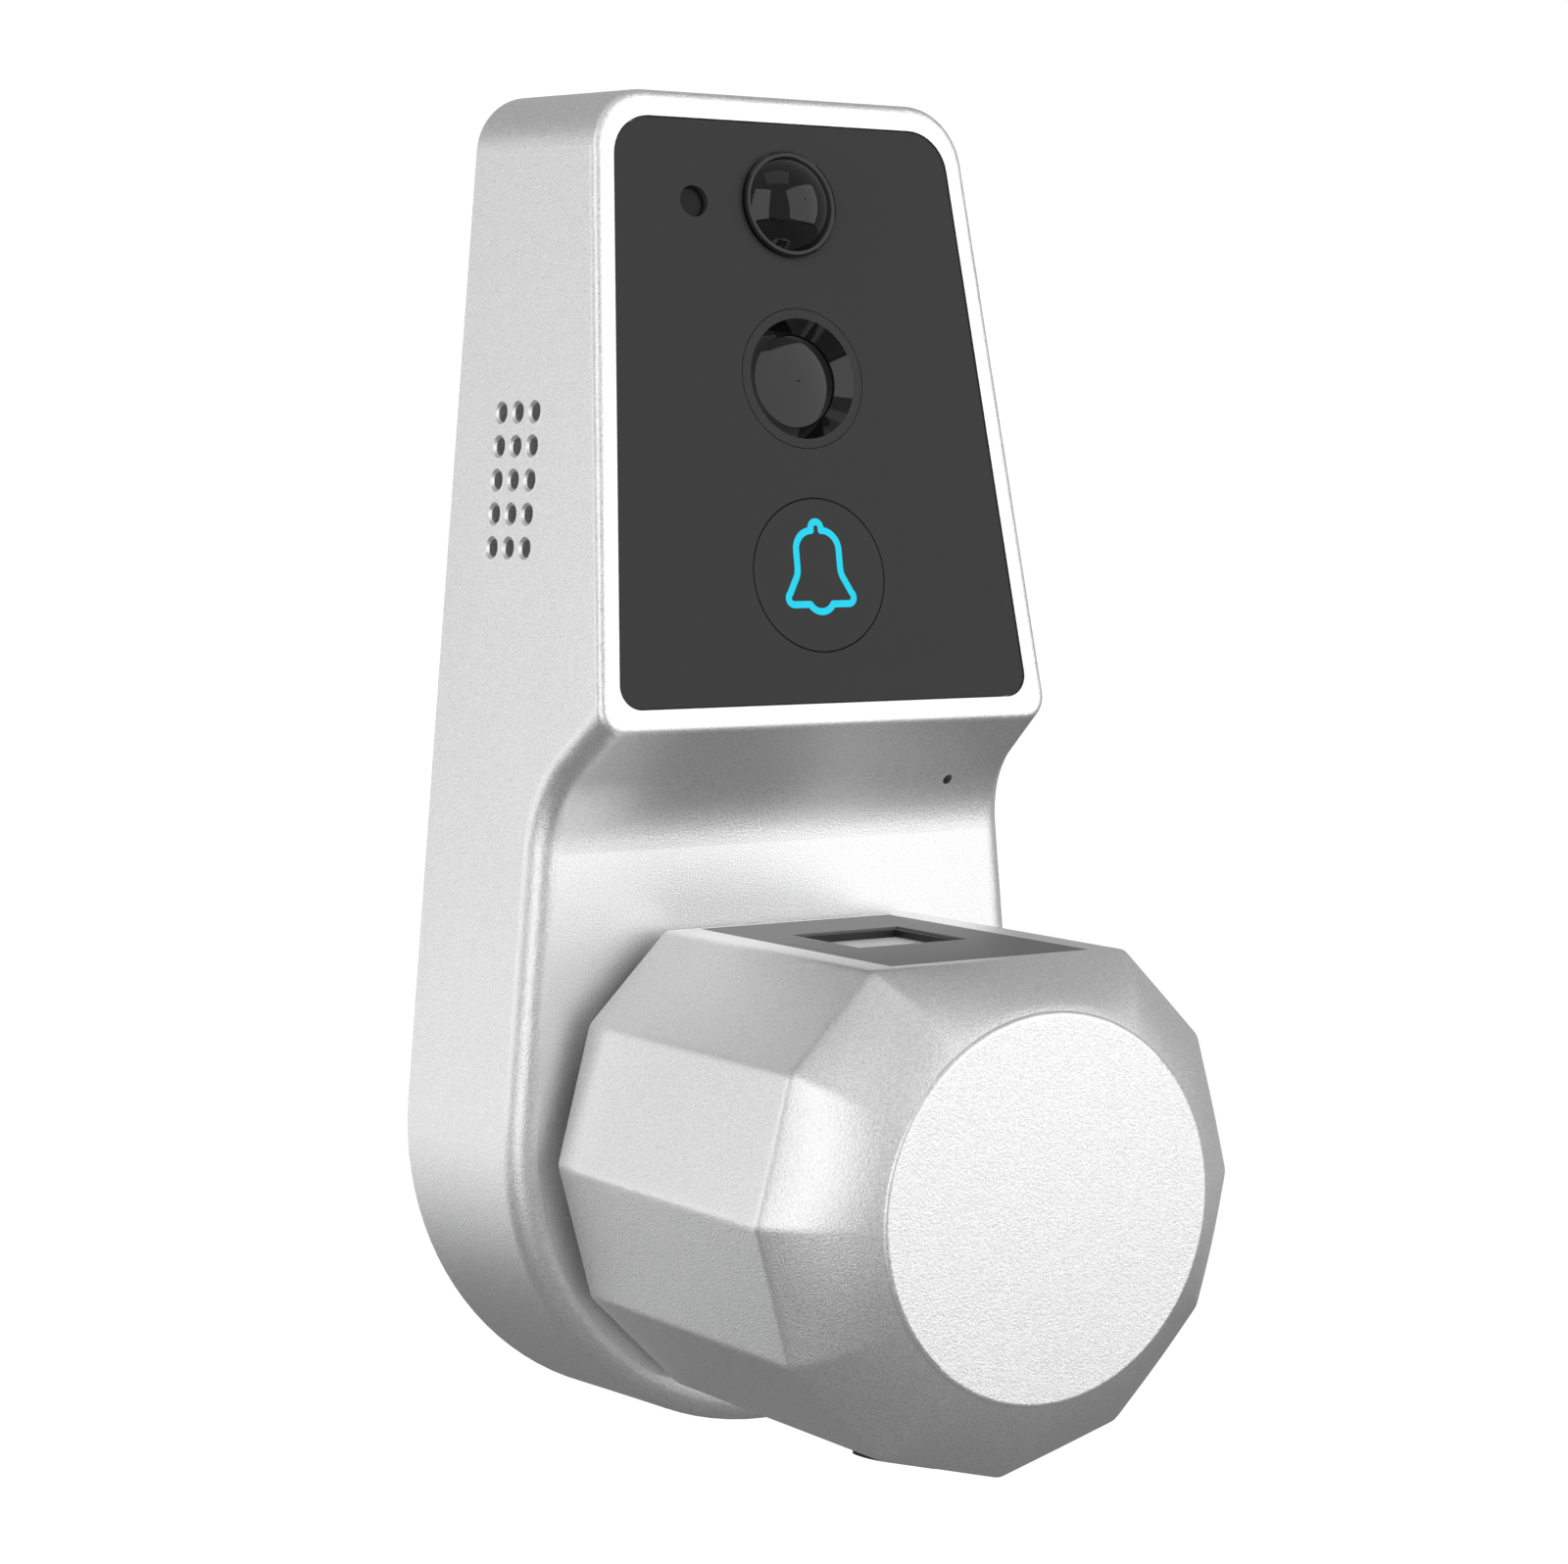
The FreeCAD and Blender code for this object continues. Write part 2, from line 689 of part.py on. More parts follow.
carrier_plate = panel_plate("carrier_plate", "ledge + 0.1", CARRIER_BACK, "carrierThick", [
    ("0", "buttonAt", "10.2"),
    ("0", "cameraAt", "bezelRadius - 0.05"),
    ("0", "motionAt", "6.4"),
    ("-lightAside", "motionAt", "lightRadius"),
])
carrier_posts = [
    cylinder(
        f"carrier_post_{number}",
        "2",
        f"frontBoardAt + {PANEL_BACK} - 0.2",
        on_panel(x, v, "-frontBoardAt"),
    )
    for number, (x, v) in enumerate(FRONT_POSTS)
]
carrier_holes = [
    cylinder(f"carrier_hole_{number}", "0.9", "3.6", on_panel(x, v, "-frontBoardAt"))
    for number, (x, v) in enumerate(FRONT_POSTS)
]
subpart(
    "panel_carrier",
    cut("panel_carrier", joined("carrier_with_posts", carrier_plate, *carrier_posts), *carrier_holes),
)

front_board = plate(
    "front_board_blank",
    [("-boardHalf", "6"), ("boardHalf", "6"), ("boardHalf", "64"), ("-boardHalf", "64")],
    "boardThick", on_panel("0", "0", "-(frontBoardAt + boardThick)"),
    [("0", "cameraAt", "6.3")] + [(x, v, "0.9") for x, v in FRONT_POSTS],
)
subpart("front_board", front_board)
BOARD_SCREW = [
    ("0", "-3.2"),
    ("0.9", "-3.2"),
    ("0.9", "0"),
    ("1.8", "0"),
    ("1.8", "0.8"),
    ("1.3", "1.1"),
    ("0", "1.1"),
]
BEHIND = turn((1, 0, 0), 180)
subpart("front_board_screws", joined("front_board_screws", *[
    turned(f"front_screw_{number}", BOARD_SCREW, on_panel(x, v, "-(frontBoardAt + boardThick)", BEHIND))
    for number, (x, v) in enumerate(FRONT_POSTS)
]))

subpart("camera_bezel", turned("camera_bezel", [
    ("lensSeat", CARRIER_BACK), ("bezelRadius - 0.08", CARRIER_BACK), ("bezelRadius - 0.08", "-panelSunk"),
    ("apertureRadius", "-panelSunk"), ("lensSeat", "-panelSunk - 1.6"),
], on_panel("0", "cameraAt", "0")))


def dome(name, radius, low, rim, crown, placement):
    """A round lens of a radius from low up to a rim height, with a spherical crown above the rim."""
    rise = f"(({crown}) - ({rim}))"
    sphere_radius = f"((({radius}) * ({radius}) + {rise} * {rise}) / (2 * {rise}))"
    ball = doc.addObject("Part::Sphere", name + "_ball")
    tie(ball, Radius=sphere_radius)
    ball.Placement = placement.multiply(placed("0", "0", f"({crown}) - {sphere_radius}"))
    rod = cylinder(name + "_rod", radius, f"({crown}) - ({low})", placement.multiply(placed("0", "0", low)))
    lens = doc.addObject("Part::Common", name)
    lens.Base = rod
    lens.Tool = ball
    return lens


subpart(
    "camera_lens",
    dome("camera_lens", "lensSeat", CARRIER_BACK, "-1.95", "-1.05", on_panel("0", "cameraAt", "0")),
)
subpart("camera_barrel", tube(
    "camera_barrel", "barrelRadius", "barrelRadius - 1.4", f"11.5 + {CARRIER_BACK}",
    on_panel("0", "cameraAt", "-11.5"),
))
subpart("camera_sensor", block("camera_sensor", "11", "11", "1.5", on_panel("0", "cameraAt", "-13")))
subpart("camera_board", block("camera_board", "15", "15", "1", on_panel("0", "cameraAt", "-14")))

motion_dome = dome(
    "motion_dome", "motionRadius - 0.6", "-1", "0.6", "motionHeight", on_panel("0", "motionAt", "0")
)
motion_collar = turned("motion_collar", [
    ("0", "-2.6"), ("6.3", "-2.6"), ("6.3", PANEL_BACK), ("motionRadius", PANEL_BACK),
    ("motionRadius", "0.45"), ("motionRadius - 0.25", "0.6"), ("0", "0.6"),
], on_panel("0", "motionAt", "0"))
subpart("motion_lens", joined("motion_lens", motion_dome, motion_collar))
subpart("motion_sensor", turned("motion_sensor", [
    ("0", "-frontBoardAt"), ("4.6", "-frontBoardAt"), ("4.6", "-frontBoardAt + 0.5"),
    ("4.1", "-frontBoardAt + 0.5"), ("4.1", "-4"), ("0", "-4"),
], on_panel("0", "motionAt", "0")))
subpart("light_sensor", cylinder(
    "light_sensor", "lightRadius - 0.15", "frontBoardAt - 0.9",
    on_panel("-lightAside", "motionAt", "-frontBoardAt"),
))

# ---------------------------------------------------------------- bell button

BUTTON = on_panel("0", "buttonAt", "0")


def bell_face():
    """The bell sign: one even stroke along a bell's outline, a loop on top and a clapper below."""
    first = (0.66, 5.29)
    last = (1.50, -3.25)
    # each stretch down one side: the point it ends at, and for an arc a point it passes through
    stretches = [
        ((0.66, 4.98), None),
        ((2.80, 2.90), (2.15, 4.35)),
        ((2.80, 0.90), None),
        ((3.25, -0.60), (2.90, 0.12)),
        ((4.02, -2.00), None),
        ((3.50, -3.25), (4.18, -2.90)),
        (last, None),
    ]
    loop_top = FreeCAD.Vector(0, 5.95, 0)
    clapper_foot = FreeCAD.Vector(0, -4.09, 0)
    edges = []
    for side in (1, -1):
        start = FreeCAD.Vector(side * first[0], first[1], 0)
        for finish, through in stretches:
            end = FreeCAD.Vector(side * finish[0], finish[1], 0)
            if through is None:
                edges.append(Part.LineSegment(start, end).toShape())
            else:
                bend = FreeCAD.Vector(side * through[0], through[1], 0)
                edges.append(Part.Arc(start, bend, end).toShape())
            start = end
    edges.append(
        Part.Arc(FreeCAD.Vector(-first[0], first[1], 0), loop_top, FreeCAD.Vector(*first, 0)).toShape()
    )
    edges.append(
        Part.Arc(FreeCAD.Vector(-last[0], last[1], 0), clapper_foot, FreeCAD.Vector(*last, 0)).toShape()
    )
    path = Part.Wire(Part.__sortEdges__(edges))
    reach = size("iconStroke / 2")
    return Part.Face(path.makeOffset2D(reach)).cut(Part.Face(path.makeOffset2D(-reach)))


bell_icon = doc.addObject("Part::Feature", "bell_icon")
bell_icon.Shape = bell_face().extrude(FreeCAD.Vector(0, 0, size("iconDeep")))
bell_icon.Placement = BUTTON.multiply(placed("0", "0", "-panelSunk - iconDeep"))
subpart("bell_icon", bell_icon)

button_blank = turned("button_blank", [
    ("0", "-3.3"), ("1.6", "-3.3"), ("1.6", "-2.4"), ("9.3", "-2.4"), ("9.3", f"{PANEL_BACK} - 0.05"),
    ("buttonRadius", f"{PANEL_BACK} - 0.05"), ("buttonRadius", "-panelSunk"), ("0", "-panelSunk"),
], BUTTON)
icon_pocket = doc.addObject("Part::Feature", "icon_pocket")
icon_pocket.Shape = bell_face().extrude(FreeCAD.Vector(0, 0, size("iconDeep + 1")))
icon_pocket.Placement = BUTTON.multiply(placed("0", "0", "-panelSunk - iconDeep"))
subpart("bell_button", cut("bell_button", button_blank, icon_pocket))

switch_body = block("switch_body", "6", "6", "3.3", on_panel("0", "buttonAt", "-frontBoardAt"))
switch_plunger = cylinder("switch_plunger", "1.7", "4.1", on_panel("0", "buttonAt", "-frontBoardAt"))
subpart("bell_switch", joined("bell_switch", switch_body, switch_plunger))
subpart(
    "bell_light_ring",
    tube("bell_light_ring", "9.2", "4.8", "1.6", on_panel("0", "buttonAt", "-frontBoardAt")),
)

# ---------------------------------------------------------------- knob

KNOB = placed("0", "0", "0", FORWARD)
KNOB_BOSSES = [45, 135, 225, 315]


def around(radius, angle):
    """Expressions for a point at a radius and angle about the knob's axis."""
    across = "0" if angle % 180 == 90 else f"({radius}) * cos({angle})"
    up = "0" if angle % 180 == 0 else f"({radius}) * sin({angle})"
    return across, up


prism = doc.addObject("PartDesign::Body", "knob_prism")
prism_sketch = sketch_on(prism, "knob_prism_outline", "XY_Plane")
outline(
    prism_sketch,
    [around("knobCorner", 360 / size("knobSides") * side) for side in range(int(size("knobSides")))],
)
prism_pad = prism.newObject("PartDesign::Pad", "knob_prism_pad")
prism_pad.Profile = prism_sketch
tie(prism_pad, Length="knobRim - knobRear", TaperAngle="-knobDraft")
prism.Placement = KNOB.multiply(placed("0", "0", "knobRear"))


def nose_section(shrink, bulge, distance):
    """A section across the nose: the rim's corners drawn in, each side bowed out towards a circle."""
    corner = size("knobCorner - (knobRim - knobRear) * tan(knobDraft) / cos(180 / knobSides)")
    flat = size("knobFlat")
    step = 2 * math.pi / size("knobSides")
    shoulder = corner * (math.cos(step) + math.sin(step)) - flat
    corners = [FreeCAD.Vector(shoulder, flat, 0), FreeCAD.Vector(-shoulder, flat, 0)]
    for number in range(int(size("knobSides")) - 3):
        angle = math.pi + (number - 1) * step
        corners.append(FreeCAD.Vector(corner * math.cos(angle), corner * math.sin(angle), 0))
    drawn = []
    for spot in corners:
        ray = FreeCAD.Vector(spot).normalize()
        reach = spot.Length * (1 - bulge) + corner * bulge
        drawn.append(ray * reach * shrink)
    edges = []
    for start, end in zip(drawn, drawn[1:] + drawn[:1]):
        chord = (start + end) / 2
        round_out = FreeCAD.Vector(chord).normalize() * (start.Length + end.Length) / 2
        through = chord * (1 - bulge) + round_out * bulge
        if bulge == 0:
            edges.append(Part.LineSegment(start, end).toShape())
        else:
            edges.append(Part.Arc(start, through, end).toShape())
    wire = Part.Wire(edges)
    wire.translate(FreeCAD.Vector(0, 0, distance))
    return wire


nose = doc.addObject("Part::Feature", "knob_nose")
rim_corner = size("knobCorner - (knobRim - knobRear) * tan(knobDraft) / cos(180 / knobSides)")
nose.Shape = Part.makeLoft([
    nose_section(1, 0, size("knobRim")),
    nose_section(size("knobShoulder") / rim_corner, 0.25, size("knobShoulderAt")),
    nose_section(size("knobDisc + 0.25") / rim_corner, 1, size("knobFront - 0.55")),
], True, False)
nose.Placement = KNOB

hollow_form = turned("knob_hollow_form", [
    ("0", "knobRear - 1"), ("hollowRadius", "knobRear - 1"), ("hollowRadius", "64"),
    ("18", "73.2"), ("0", "73.2"),
], KNOB)
hollow_roof = block("knob_hollow_roof", "80", "80", "20", placed("0", "-50", "knobFlat - roofThick"))
knob_hollow = cut("knob_hollow", hollow_form, hollow_roof)
flat_cut = block("knob_flat_cut", "80", "80", "20", placed("0", "-(knobRear + knobRim) / 2", "knobFlat"))
knob_solid = joined("knob_solid", cut("knob_prism_with_flat", prism, flat_cut), nose)
knob_blank = cut("knob_blank", knob_solid, knob_hollow)
knob_boss_group = [
    cylinder(
        f"knob_boss_{angle}",
        "3",
        "41.5",
        KNOB.multiply(placed(*around("knobBossCircle", angle), "knobRear + baseThick")),
    )
    for angle in KNOB_BOSSES
]
knob_boss_holes = [
    cylinder(
        f"knob_boss_hole_{angle}",
        "1.25",
        "11",
        KNOB.multiply(placed(*around("knobBossCircle", angle), "knobRear")),
    )
    for angle in KNOB_BOSSES
]
READER_MID = "-(readerRear + readerFront) / 2"
WINDOW_MID = "-(windowRear + windowFront) / 2"
WINDOW_LONG = "(windowFront - windowRear)"
reader_bed = block(
    "reader_bed", "2 * readerHalf", "readerFront - readerRear", "5",
    placed("0", READER_MID, "knobFlat - readerThick"),
)
reader_shaft = block(
    "reader_shaft", "2 * windowHalf", WINDOW_LONG, "10", placed("0", WINDOW_MID, "knobFlat - 6")
)
cap_seat = cylinder(
    "cap_seat", "knobDisc + 0.05", "5", KNOB.multiply(placed("0", "0", "knobFront - capThick"))
)

facet_angle = 255
facet_ray = FreeCAD.Vector(math.cos(math.radians(facet_angle)), 0, math.sin(math.radians(facet_angle)))
facet_reach = "((knobCorner * cos(180 / knobSides)) - (portAt - knobRear) * tan(knobDraft))"
PORT = FreeCAD.Placement(
    facet_ray * size(facet_reach) + FreeCAD.Vector(0, -size("portAt"), 0),
    FreeCAD.Rotation(
        FreeCAD.Vector(-facet_ray.z, 0, facet_ray.x), FreeCAD.Vector(0, -1, 0), facet_ray, "XYZ"
    ),
)
port_slot = block("port_slot", "slotLong", "slotHigh", "12", PORT.multiply(placed("0", "0", "-8")))
subpart("knob_shell", cut(
    "knob_shell", joined("knob_with_bosses", knob_blank, *knob_boss_group), *knob_boss_holes,
    reader_bed, reader_shaft, cap_seat, port_slot,
))

end_cap = turned("knob_end_cap", [
    ("0", "knobFront - capThick"), ("knobDisc", "knobFront - capThick"),
    ("knobDisc", "knobFront"), ("0", "knobFront"),
], KNOB)
rounded(
    end_cap, "end_cap_edge", "0.6",
    lambda edge: edge.Length > 100 and edge.BoundBox.ZMin > size("knobFront") - 0.01,
)
subpart("knob_end_cap", end_cap)

base_disc = turned("base_disc", [
    ("shaftRadius", "knobRear"), ("hollowRadius - 0.05", "knobRear"),
    ("hollowRadius - 0.05", "knobRear + baseThick"), ("shaftRadius", "knobRear + baseThick"),
], KNOB)
base_roof = block("base_roof", "80", "80", "20", placed("0", "-50", "knobFlat - 2.49"))
FLANGE_SCREWS = [30, 150, 270]
flange_screw_holes = [
    cylinder(
        f"base_thread_{angle}", "1", "5",
        KNOB.multiply(placed(*around("flangeScrewCircle", angle), "knobRear + 0.5")),
    )
    for angle in FLANGE_SCREWS
]
base_screw_holes = [
    turned(f"base_countersink_{angle}", [
        ("0", "-1"), ("2.4", "-1"), ("2.4", "0.1"), ("1.25", "1.4"), ("1.25", "4"), ("0", "4"),
    ], KNOB.multiply(placed(*around("knobBossCircle", angle), "knobRear")))
    for angle in KNOB_BOSSES
]
subpart("knob_base", cut("knob_base", base_disc, base_roof, *flange_screw_holes, *base_screw_holes))
subpart("knob_base_screws", joined("knob_base_screws", *[
    turned(f"base_screw_{angle}", [
        ("0", "0.1"), ("2.4", "0.1"), ("1.25", "1.4"), ("1.25", "9"), ("0", "9"),
    ], KNOB.multiply(placed(*around("knobBossCircle", angle), "knobRear")))
    for angle in KNOB_BOSSES
]))

# ---------------------------------------------------------------- fingerprint reader

reader_plate = cut(
    "reader_plate",
    block(
        "reader_blank",
        "2 * readerHalf",
        "readerFront - readerRear",
        "readerThick",
        placed("0", READER_MID, "knobFlat - readerThick"),
    ),
    block("reader_window", "2 * windowHalf", WINDOW_LONG, "4", placed("0", WINDOW_MID, "knobFlat - 3")),
)
subpart("reader_plate", reader_plate)
sensor_bezel = cut(
    "sensor_bezel",
    block(
        "sensor_bezel_blank",
        "2 * windowHalf",
        WINDOW_LONG,
        "roofThick - bezelSunk",
        placed("0", WINDOW_MID, "knobFlat - roofThick"),
    ),
    block(
        "sensor_bezel_window", "2 * (windowHalf - bezelLedge)", f"{WINDOW_LONG} - 2 * bezelLedge", "6",
        placed("0", WINDOW_MID, "knobFlat - 4"),
    ),
)
subpart("sensor_bezel", sensor_bezel)
subpart("fingerprint_sensor", block(
    "fingerprint_sensor", "2 * (windowHalf - bezelLedge)", f"{WINDOW_LONG} - 2 * bezelLedge",
    "roofThick - sensorSunk",
    placed("0", WINDOW_MID, "knobFlat - roofThick"),
))
subpart(
    "reader_board", block("reader_board", "18", "20", "1.2", placed("0", WINDOW_MID, "knobFlat - 3.64"))
)

# ---------------------------------------------------------------- emergency supply port

port_shell = cut(
    "port_shell",
    block("port_shell_blank", "slotLong", "slotHigh", "5.4", PORT.multiply(placed("0", "0", "-5.8"))),
    block("port_shell_mouth", "slotLong - 0.8", "slotHigh - 0.8", "5", PORT.multiply(placed("0", "0", "-5"))),
)
subpart("power_port", port_shell)
flap_middle = block(
    "flap_middle",
    "2 * (portHalf - portRadius)",
    "2 * portRadius",
    "portProud",
    PORT.multiply(placed("0", "0", "0.04")),
)
flap_ends = [
    cylinder(
        f"flap_end_{side}",
        "portRadius",
        "portProud",
        PORT.multiply(placed(f"{side} * (portHalf - portRadius)", "0", "0.04")),
    )
    for side in (-1, 1)
]
subpart("port_cover", joined("port_cover", flap_middle, *flap_ends))

# ---------------------------------------------------------------- drive line from knob to latch

CAM_NEAR = "15"
CAM_THICK = "3"
shaft_blank = turned("shaft_blank", [
    ("shaftBore", "shaftEnd"), ("shaftRadius", "shaftEnd"), ("shaftRadius", "14"),
    ("shaftRadius - 0.6", "14"), ("shaftRadius - 0.6", CAM_NEAR), ("shaftRadius", CAM_NEAR),
    ("shaftRadius", "knobRear + baseThick"), ("13", "knobRear + baseThick"),
    ("13", "30.5"), ("shaftBore", "30.5"),
], KNOB)
subpart("knob_shaft", cut("knob_shaft", shaft_blank, *[
    cylinder(
        f"flange_hole_{angle}",
        "1",
        "5",
        KNOB.multiply(placed(*around("flangeScrewCircle", angle), "knobRear + baseThick - 1")),
    )
    for angle in FLANGE_SCREWS
]))
subpart("shaft_flange_screws", joined("shaft_flange_screws", *[
    turned(f"flange_screw_{angle}", [
        ("0", "-3.4"), ("1", "-3.4"), ("1", "0"), ("1.9", "0"),
        ("1.9", "0.9"), ("1.4", "1.3"), ("0", "1.3"),
    ], KNOB.multiply(placed(*around("flangeScrewCircle", angle), "30.5")))
    for angle in FLANGE_SCREWS
]))
subpart("shaft_circlip", cut(
    "shaft_circlip",
    tube("circlip_ring", "9.4", "shaftRadius - 0.6", "0.95", KNOB.multiply(placed("0", "0", "14.02"))),
    block("circlip_gap", "4", "12", "4", KNOB.multiply(placed("0", "11", "12.5"))),
))
cam_lobe = cylinder(
    "cam_lobe", "14.5", CAM_THICK, KNOB.multiply(placed("0", "0", CAM_NEAR, turn((0, 0, 1), 255)))
)
cam_lobe.Angle = 30
subpart("stop_cam", cut(
    "stop_cam",
    joined(
        "cam_blank",
        cylinder("cam_disc", "11", CAM_THICK, KNOB.multiply(placed("0", "0", CAM_NEAR))),
        cam_lobe,
    ),
    cylinder("cam_bore", "shaftRadius", "10", KNOB.multiply(placed("0", "0", "12"))),
))
subpart("stop_pins", joined("stop_pins", *[
    cylinder(
        f"stop_pin_{side}", "stopPin", "8.6",
        placed(f"{side} * stopRadius * sin(stopAngle)", "-14.6", "-stopRadius * cos(stopAngle)", FORWARD),
    )
    for side in (-1, 1)
]))
subpart("knob_bush", turned("knob_bush", [
    ("shaftRadius + runningGap", "18.4"), ("bushRadius", "18.4"), ("bushRadius", "lowerDepth"),
    ("bushFlange", "lowerDepth"), ("bushFlange", "lowerDepth + 1.2"),
    ("shaftRadius + runningGap", "lowerDepth + 1.2"),
], KNOB))

spring_coils = []
for turn_number in range(3):
    coil = doc.addObject("Part::Torus", f"spring_coil_{turn_number}")
    tie(coil, Radius1="springRadius", Radius2="springWire / 2")
    coil.Placement = KNOB.multiply(placed("0", "0", f"10 + {turn_number} * springPitch"))
    spring_coils.append(coil)
subpart("return_spring", joined("return_spring", *spring_coils))

subpart(
    "clutch_solenoid",
    tube("clutch_solenoid", "shaftBore", "2", "10.5", KNOB.multiply(placed("0", "0", "17.5"))),
)
pin_rod = cylinder("pin_rod", "1.4", "10", KNOB.multiply(placed("0", "0", "15")))
pin_blade = block("pin_blade", "8", "2", "4", KNOB.multiply(placed("0", "0", "11.4")))
subpart("clutch_pin", joined("clutch_pin", pin_rod, pin_blade))

hub = turned("spindle_hub_blank", [
    ("0", "0.5"), ("hubRadius", "0.5"), ("hubRadius", "5.8"), ("9", "5.8"), ("9", "7.6"),
    ("hubRadius", "7.6"), ("hubRadius", "13"), ("0", "13"),
], KNOB)
subpart(
    "spindle_hub",
    cut("spindle_hub", hub, block("hub_slot", "8.6", "2.6", "4", KNOB.multiply(placed("0", "0", "10.9")))),
)
subpart(
    "spindle",
    block("spindle", "spindleSide", "spindleSide", "spindleEnd + 0.5", placed("0", "-0.5", "0", INWARD)),
)

# ---------------------------------------------------------------- checks and export

doc.recompute()
failed = [item.Name for item in doc.Objects if "Invalid" in item.State or "Error" in item.State]
if failed:
    raise RuntimeError(f"features failed: {failed}")
for item in subparts:
    if item.Shape.isNull() or not item.Shape.isValid() or not item.Shape.Solids:
        raise RuntimeError(f"{item.Label} has no valid solid")
os.makedirs("parts", exist_ok=True)
for item in subparts:
    item.Shape.exportStep(f"parts/{item.Label}.step")
    print(f"{item.Label}: {len(item.Shape.Solids)} solid(s), {item.Shape.Volume:.1f} mm3")
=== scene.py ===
import math

import bmesh
import bpy
import numpy as np
from mathutils import Matrix, Vector


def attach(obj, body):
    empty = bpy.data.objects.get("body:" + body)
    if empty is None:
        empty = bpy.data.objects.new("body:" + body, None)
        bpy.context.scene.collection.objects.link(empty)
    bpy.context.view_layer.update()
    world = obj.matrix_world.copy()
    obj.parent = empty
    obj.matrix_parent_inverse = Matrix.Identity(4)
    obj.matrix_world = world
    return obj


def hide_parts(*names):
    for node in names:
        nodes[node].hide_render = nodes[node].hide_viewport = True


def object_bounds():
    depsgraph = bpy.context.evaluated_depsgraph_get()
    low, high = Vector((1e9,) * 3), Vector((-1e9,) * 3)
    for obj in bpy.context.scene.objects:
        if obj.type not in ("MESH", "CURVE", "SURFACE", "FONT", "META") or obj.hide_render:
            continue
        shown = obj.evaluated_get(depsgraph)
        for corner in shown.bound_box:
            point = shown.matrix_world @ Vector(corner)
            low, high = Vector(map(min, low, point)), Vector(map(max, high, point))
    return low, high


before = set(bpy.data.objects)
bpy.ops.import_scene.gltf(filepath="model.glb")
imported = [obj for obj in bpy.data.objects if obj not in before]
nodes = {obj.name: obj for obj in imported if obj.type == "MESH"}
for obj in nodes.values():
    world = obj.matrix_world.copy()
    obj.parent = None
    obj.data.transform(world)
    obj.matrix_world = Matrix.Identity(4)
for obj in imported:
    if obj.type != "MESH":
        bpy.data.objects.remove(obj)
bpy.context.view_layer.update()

# ---- Steel back plate with its fixings
# A stamped zinc-plated plate closes the back of the housing. Countersunk screws hold it, two
# threaded posts take the bolts from the inside of the door, and a foam ring seals against the door.

ZINC = (0.56, 0.58, 0.61)
SCREW_STEEL = (0.72, 0.71, 0.68)
FOAM = (0.025, 0.025, 0.027)
SCREW_SPOTS = [(0.0219, -0.0157), (-0.0219, -0.0157), (0.0176, 0.1102), (-0.0176, 0.1102)]
SCREW_TURNS = [12, 58, 31, 77]
# Radius and distance from the door, from the head to the point.
SCREW_SECTION = [(0.0027, 0.0001), (0.00285, 0.00015), (0.0015, 0.0015), (0.0015, 0.012)]
# Half length, half width and depth of each arm of the cross recess.
RECESS_MOUTH = (0.0016, 0.00035, 0.0)
RECESS_FLOOR = (0.0008, 0.00025, 0.0012)
PATCHES_PER_METRE = 45.0
SHARP_ANGLE = math.radians(30)
BROKEN_ANGLE = math.radians(50)


def make_grain_group():
    """Fine even grain of a sprayed, blasted or moulded skin, with slow patches under it."""
    group = bpy.data.node_groups.new("skin_grain", "ShaderNodeTree")
    link = group.links.new
    sockets = [
        ("Color", "INPUT"), ("Speck Size", "INPUT"), ("Speck Depth", "INPUT"),
        ("Patch Depth", "INPUT"), ("Roughness", "INPUT"), ("Roughness Spread", "INPUT"),
        ("Color", "OUTPUT"), ("Roughness", "OUTPUT"), ("Height", "OUTPUT"),
    ]
    for label, way in sockets:
        kind = "NodeSocketColor" if label == "Color" else "NodeSocketFloat"
        group.interface.new_socket(name=label, in_out=way, socket_type=kind)
    given = group.nodes.new("NodeGroupInput").outputs
    put = group.nodes.new("NodeGroupOutput").inputs
    place = group.nodes.new("ShaderNodeTexCoord").outputs["Object"]

    def worked(operation, first, second):
        """One sum on two values, each of them a number or another node's output."""
        node = group.nodes.new("ShaderNodeMath")
        node.operation = operation
        for entry, value in zip(node.inputs, (first, second)):
            if isinstance(value, float):
                entry.default_value = value
            else:
                link(value, entry)
        return node.outputs[0]

    def centred(source, depth):
        """A noise from 0 to 1 turned into one on both sides of zero, at a depth."""
        return worked("MULTIPLY", worked("SUBTRACT", source, 0.5), depth)

    speck = group.nodes.new("ShaderNodeTexNoise")
    speck.inputs["Detail"].default_value = 2.0
    speck.inputs["Roughness"].default_value = 0.6
    link(place, speck.inputs["Vector"])
    link(worked("DIVIDE", 1.0, given["Speck Size"]), speck.inputs["Scale"])
    patch = group.nodes.new("ShaderNodeTexNoise")
    patch.inputs["Detail"].default_value = 3.0
    patch.inputs["Scale"].default_value = PATCHES_PER_METRE
    link(place, patch.inputs["Vector"])
    specks = centred(speck.outputs["Fac"], given["Speck Depth"])
    patches = centred(patch.outputs["Fac"], given["Patch Depth"])
    tint = group.nodes.new("ShaderNodeVectorMath")
    tint.operation = "SCALE"
    link(given["Color"], tint.inputs[0])
    link(worked("ADD", worked("ADD", specks, patches), 1.0), tint.inputs["Scale"])
    link(tint.outputs[0], put["Color"])
    wander = centred(speck.outputs["Fac"], given["Roughness Spread"])
    link(worked("ADD", wander, given["Roughness"]), put["Roughness"])
    link(speck.outputs["Fac"], put["Height"])
    return group


skin_grain = make_grain_group()


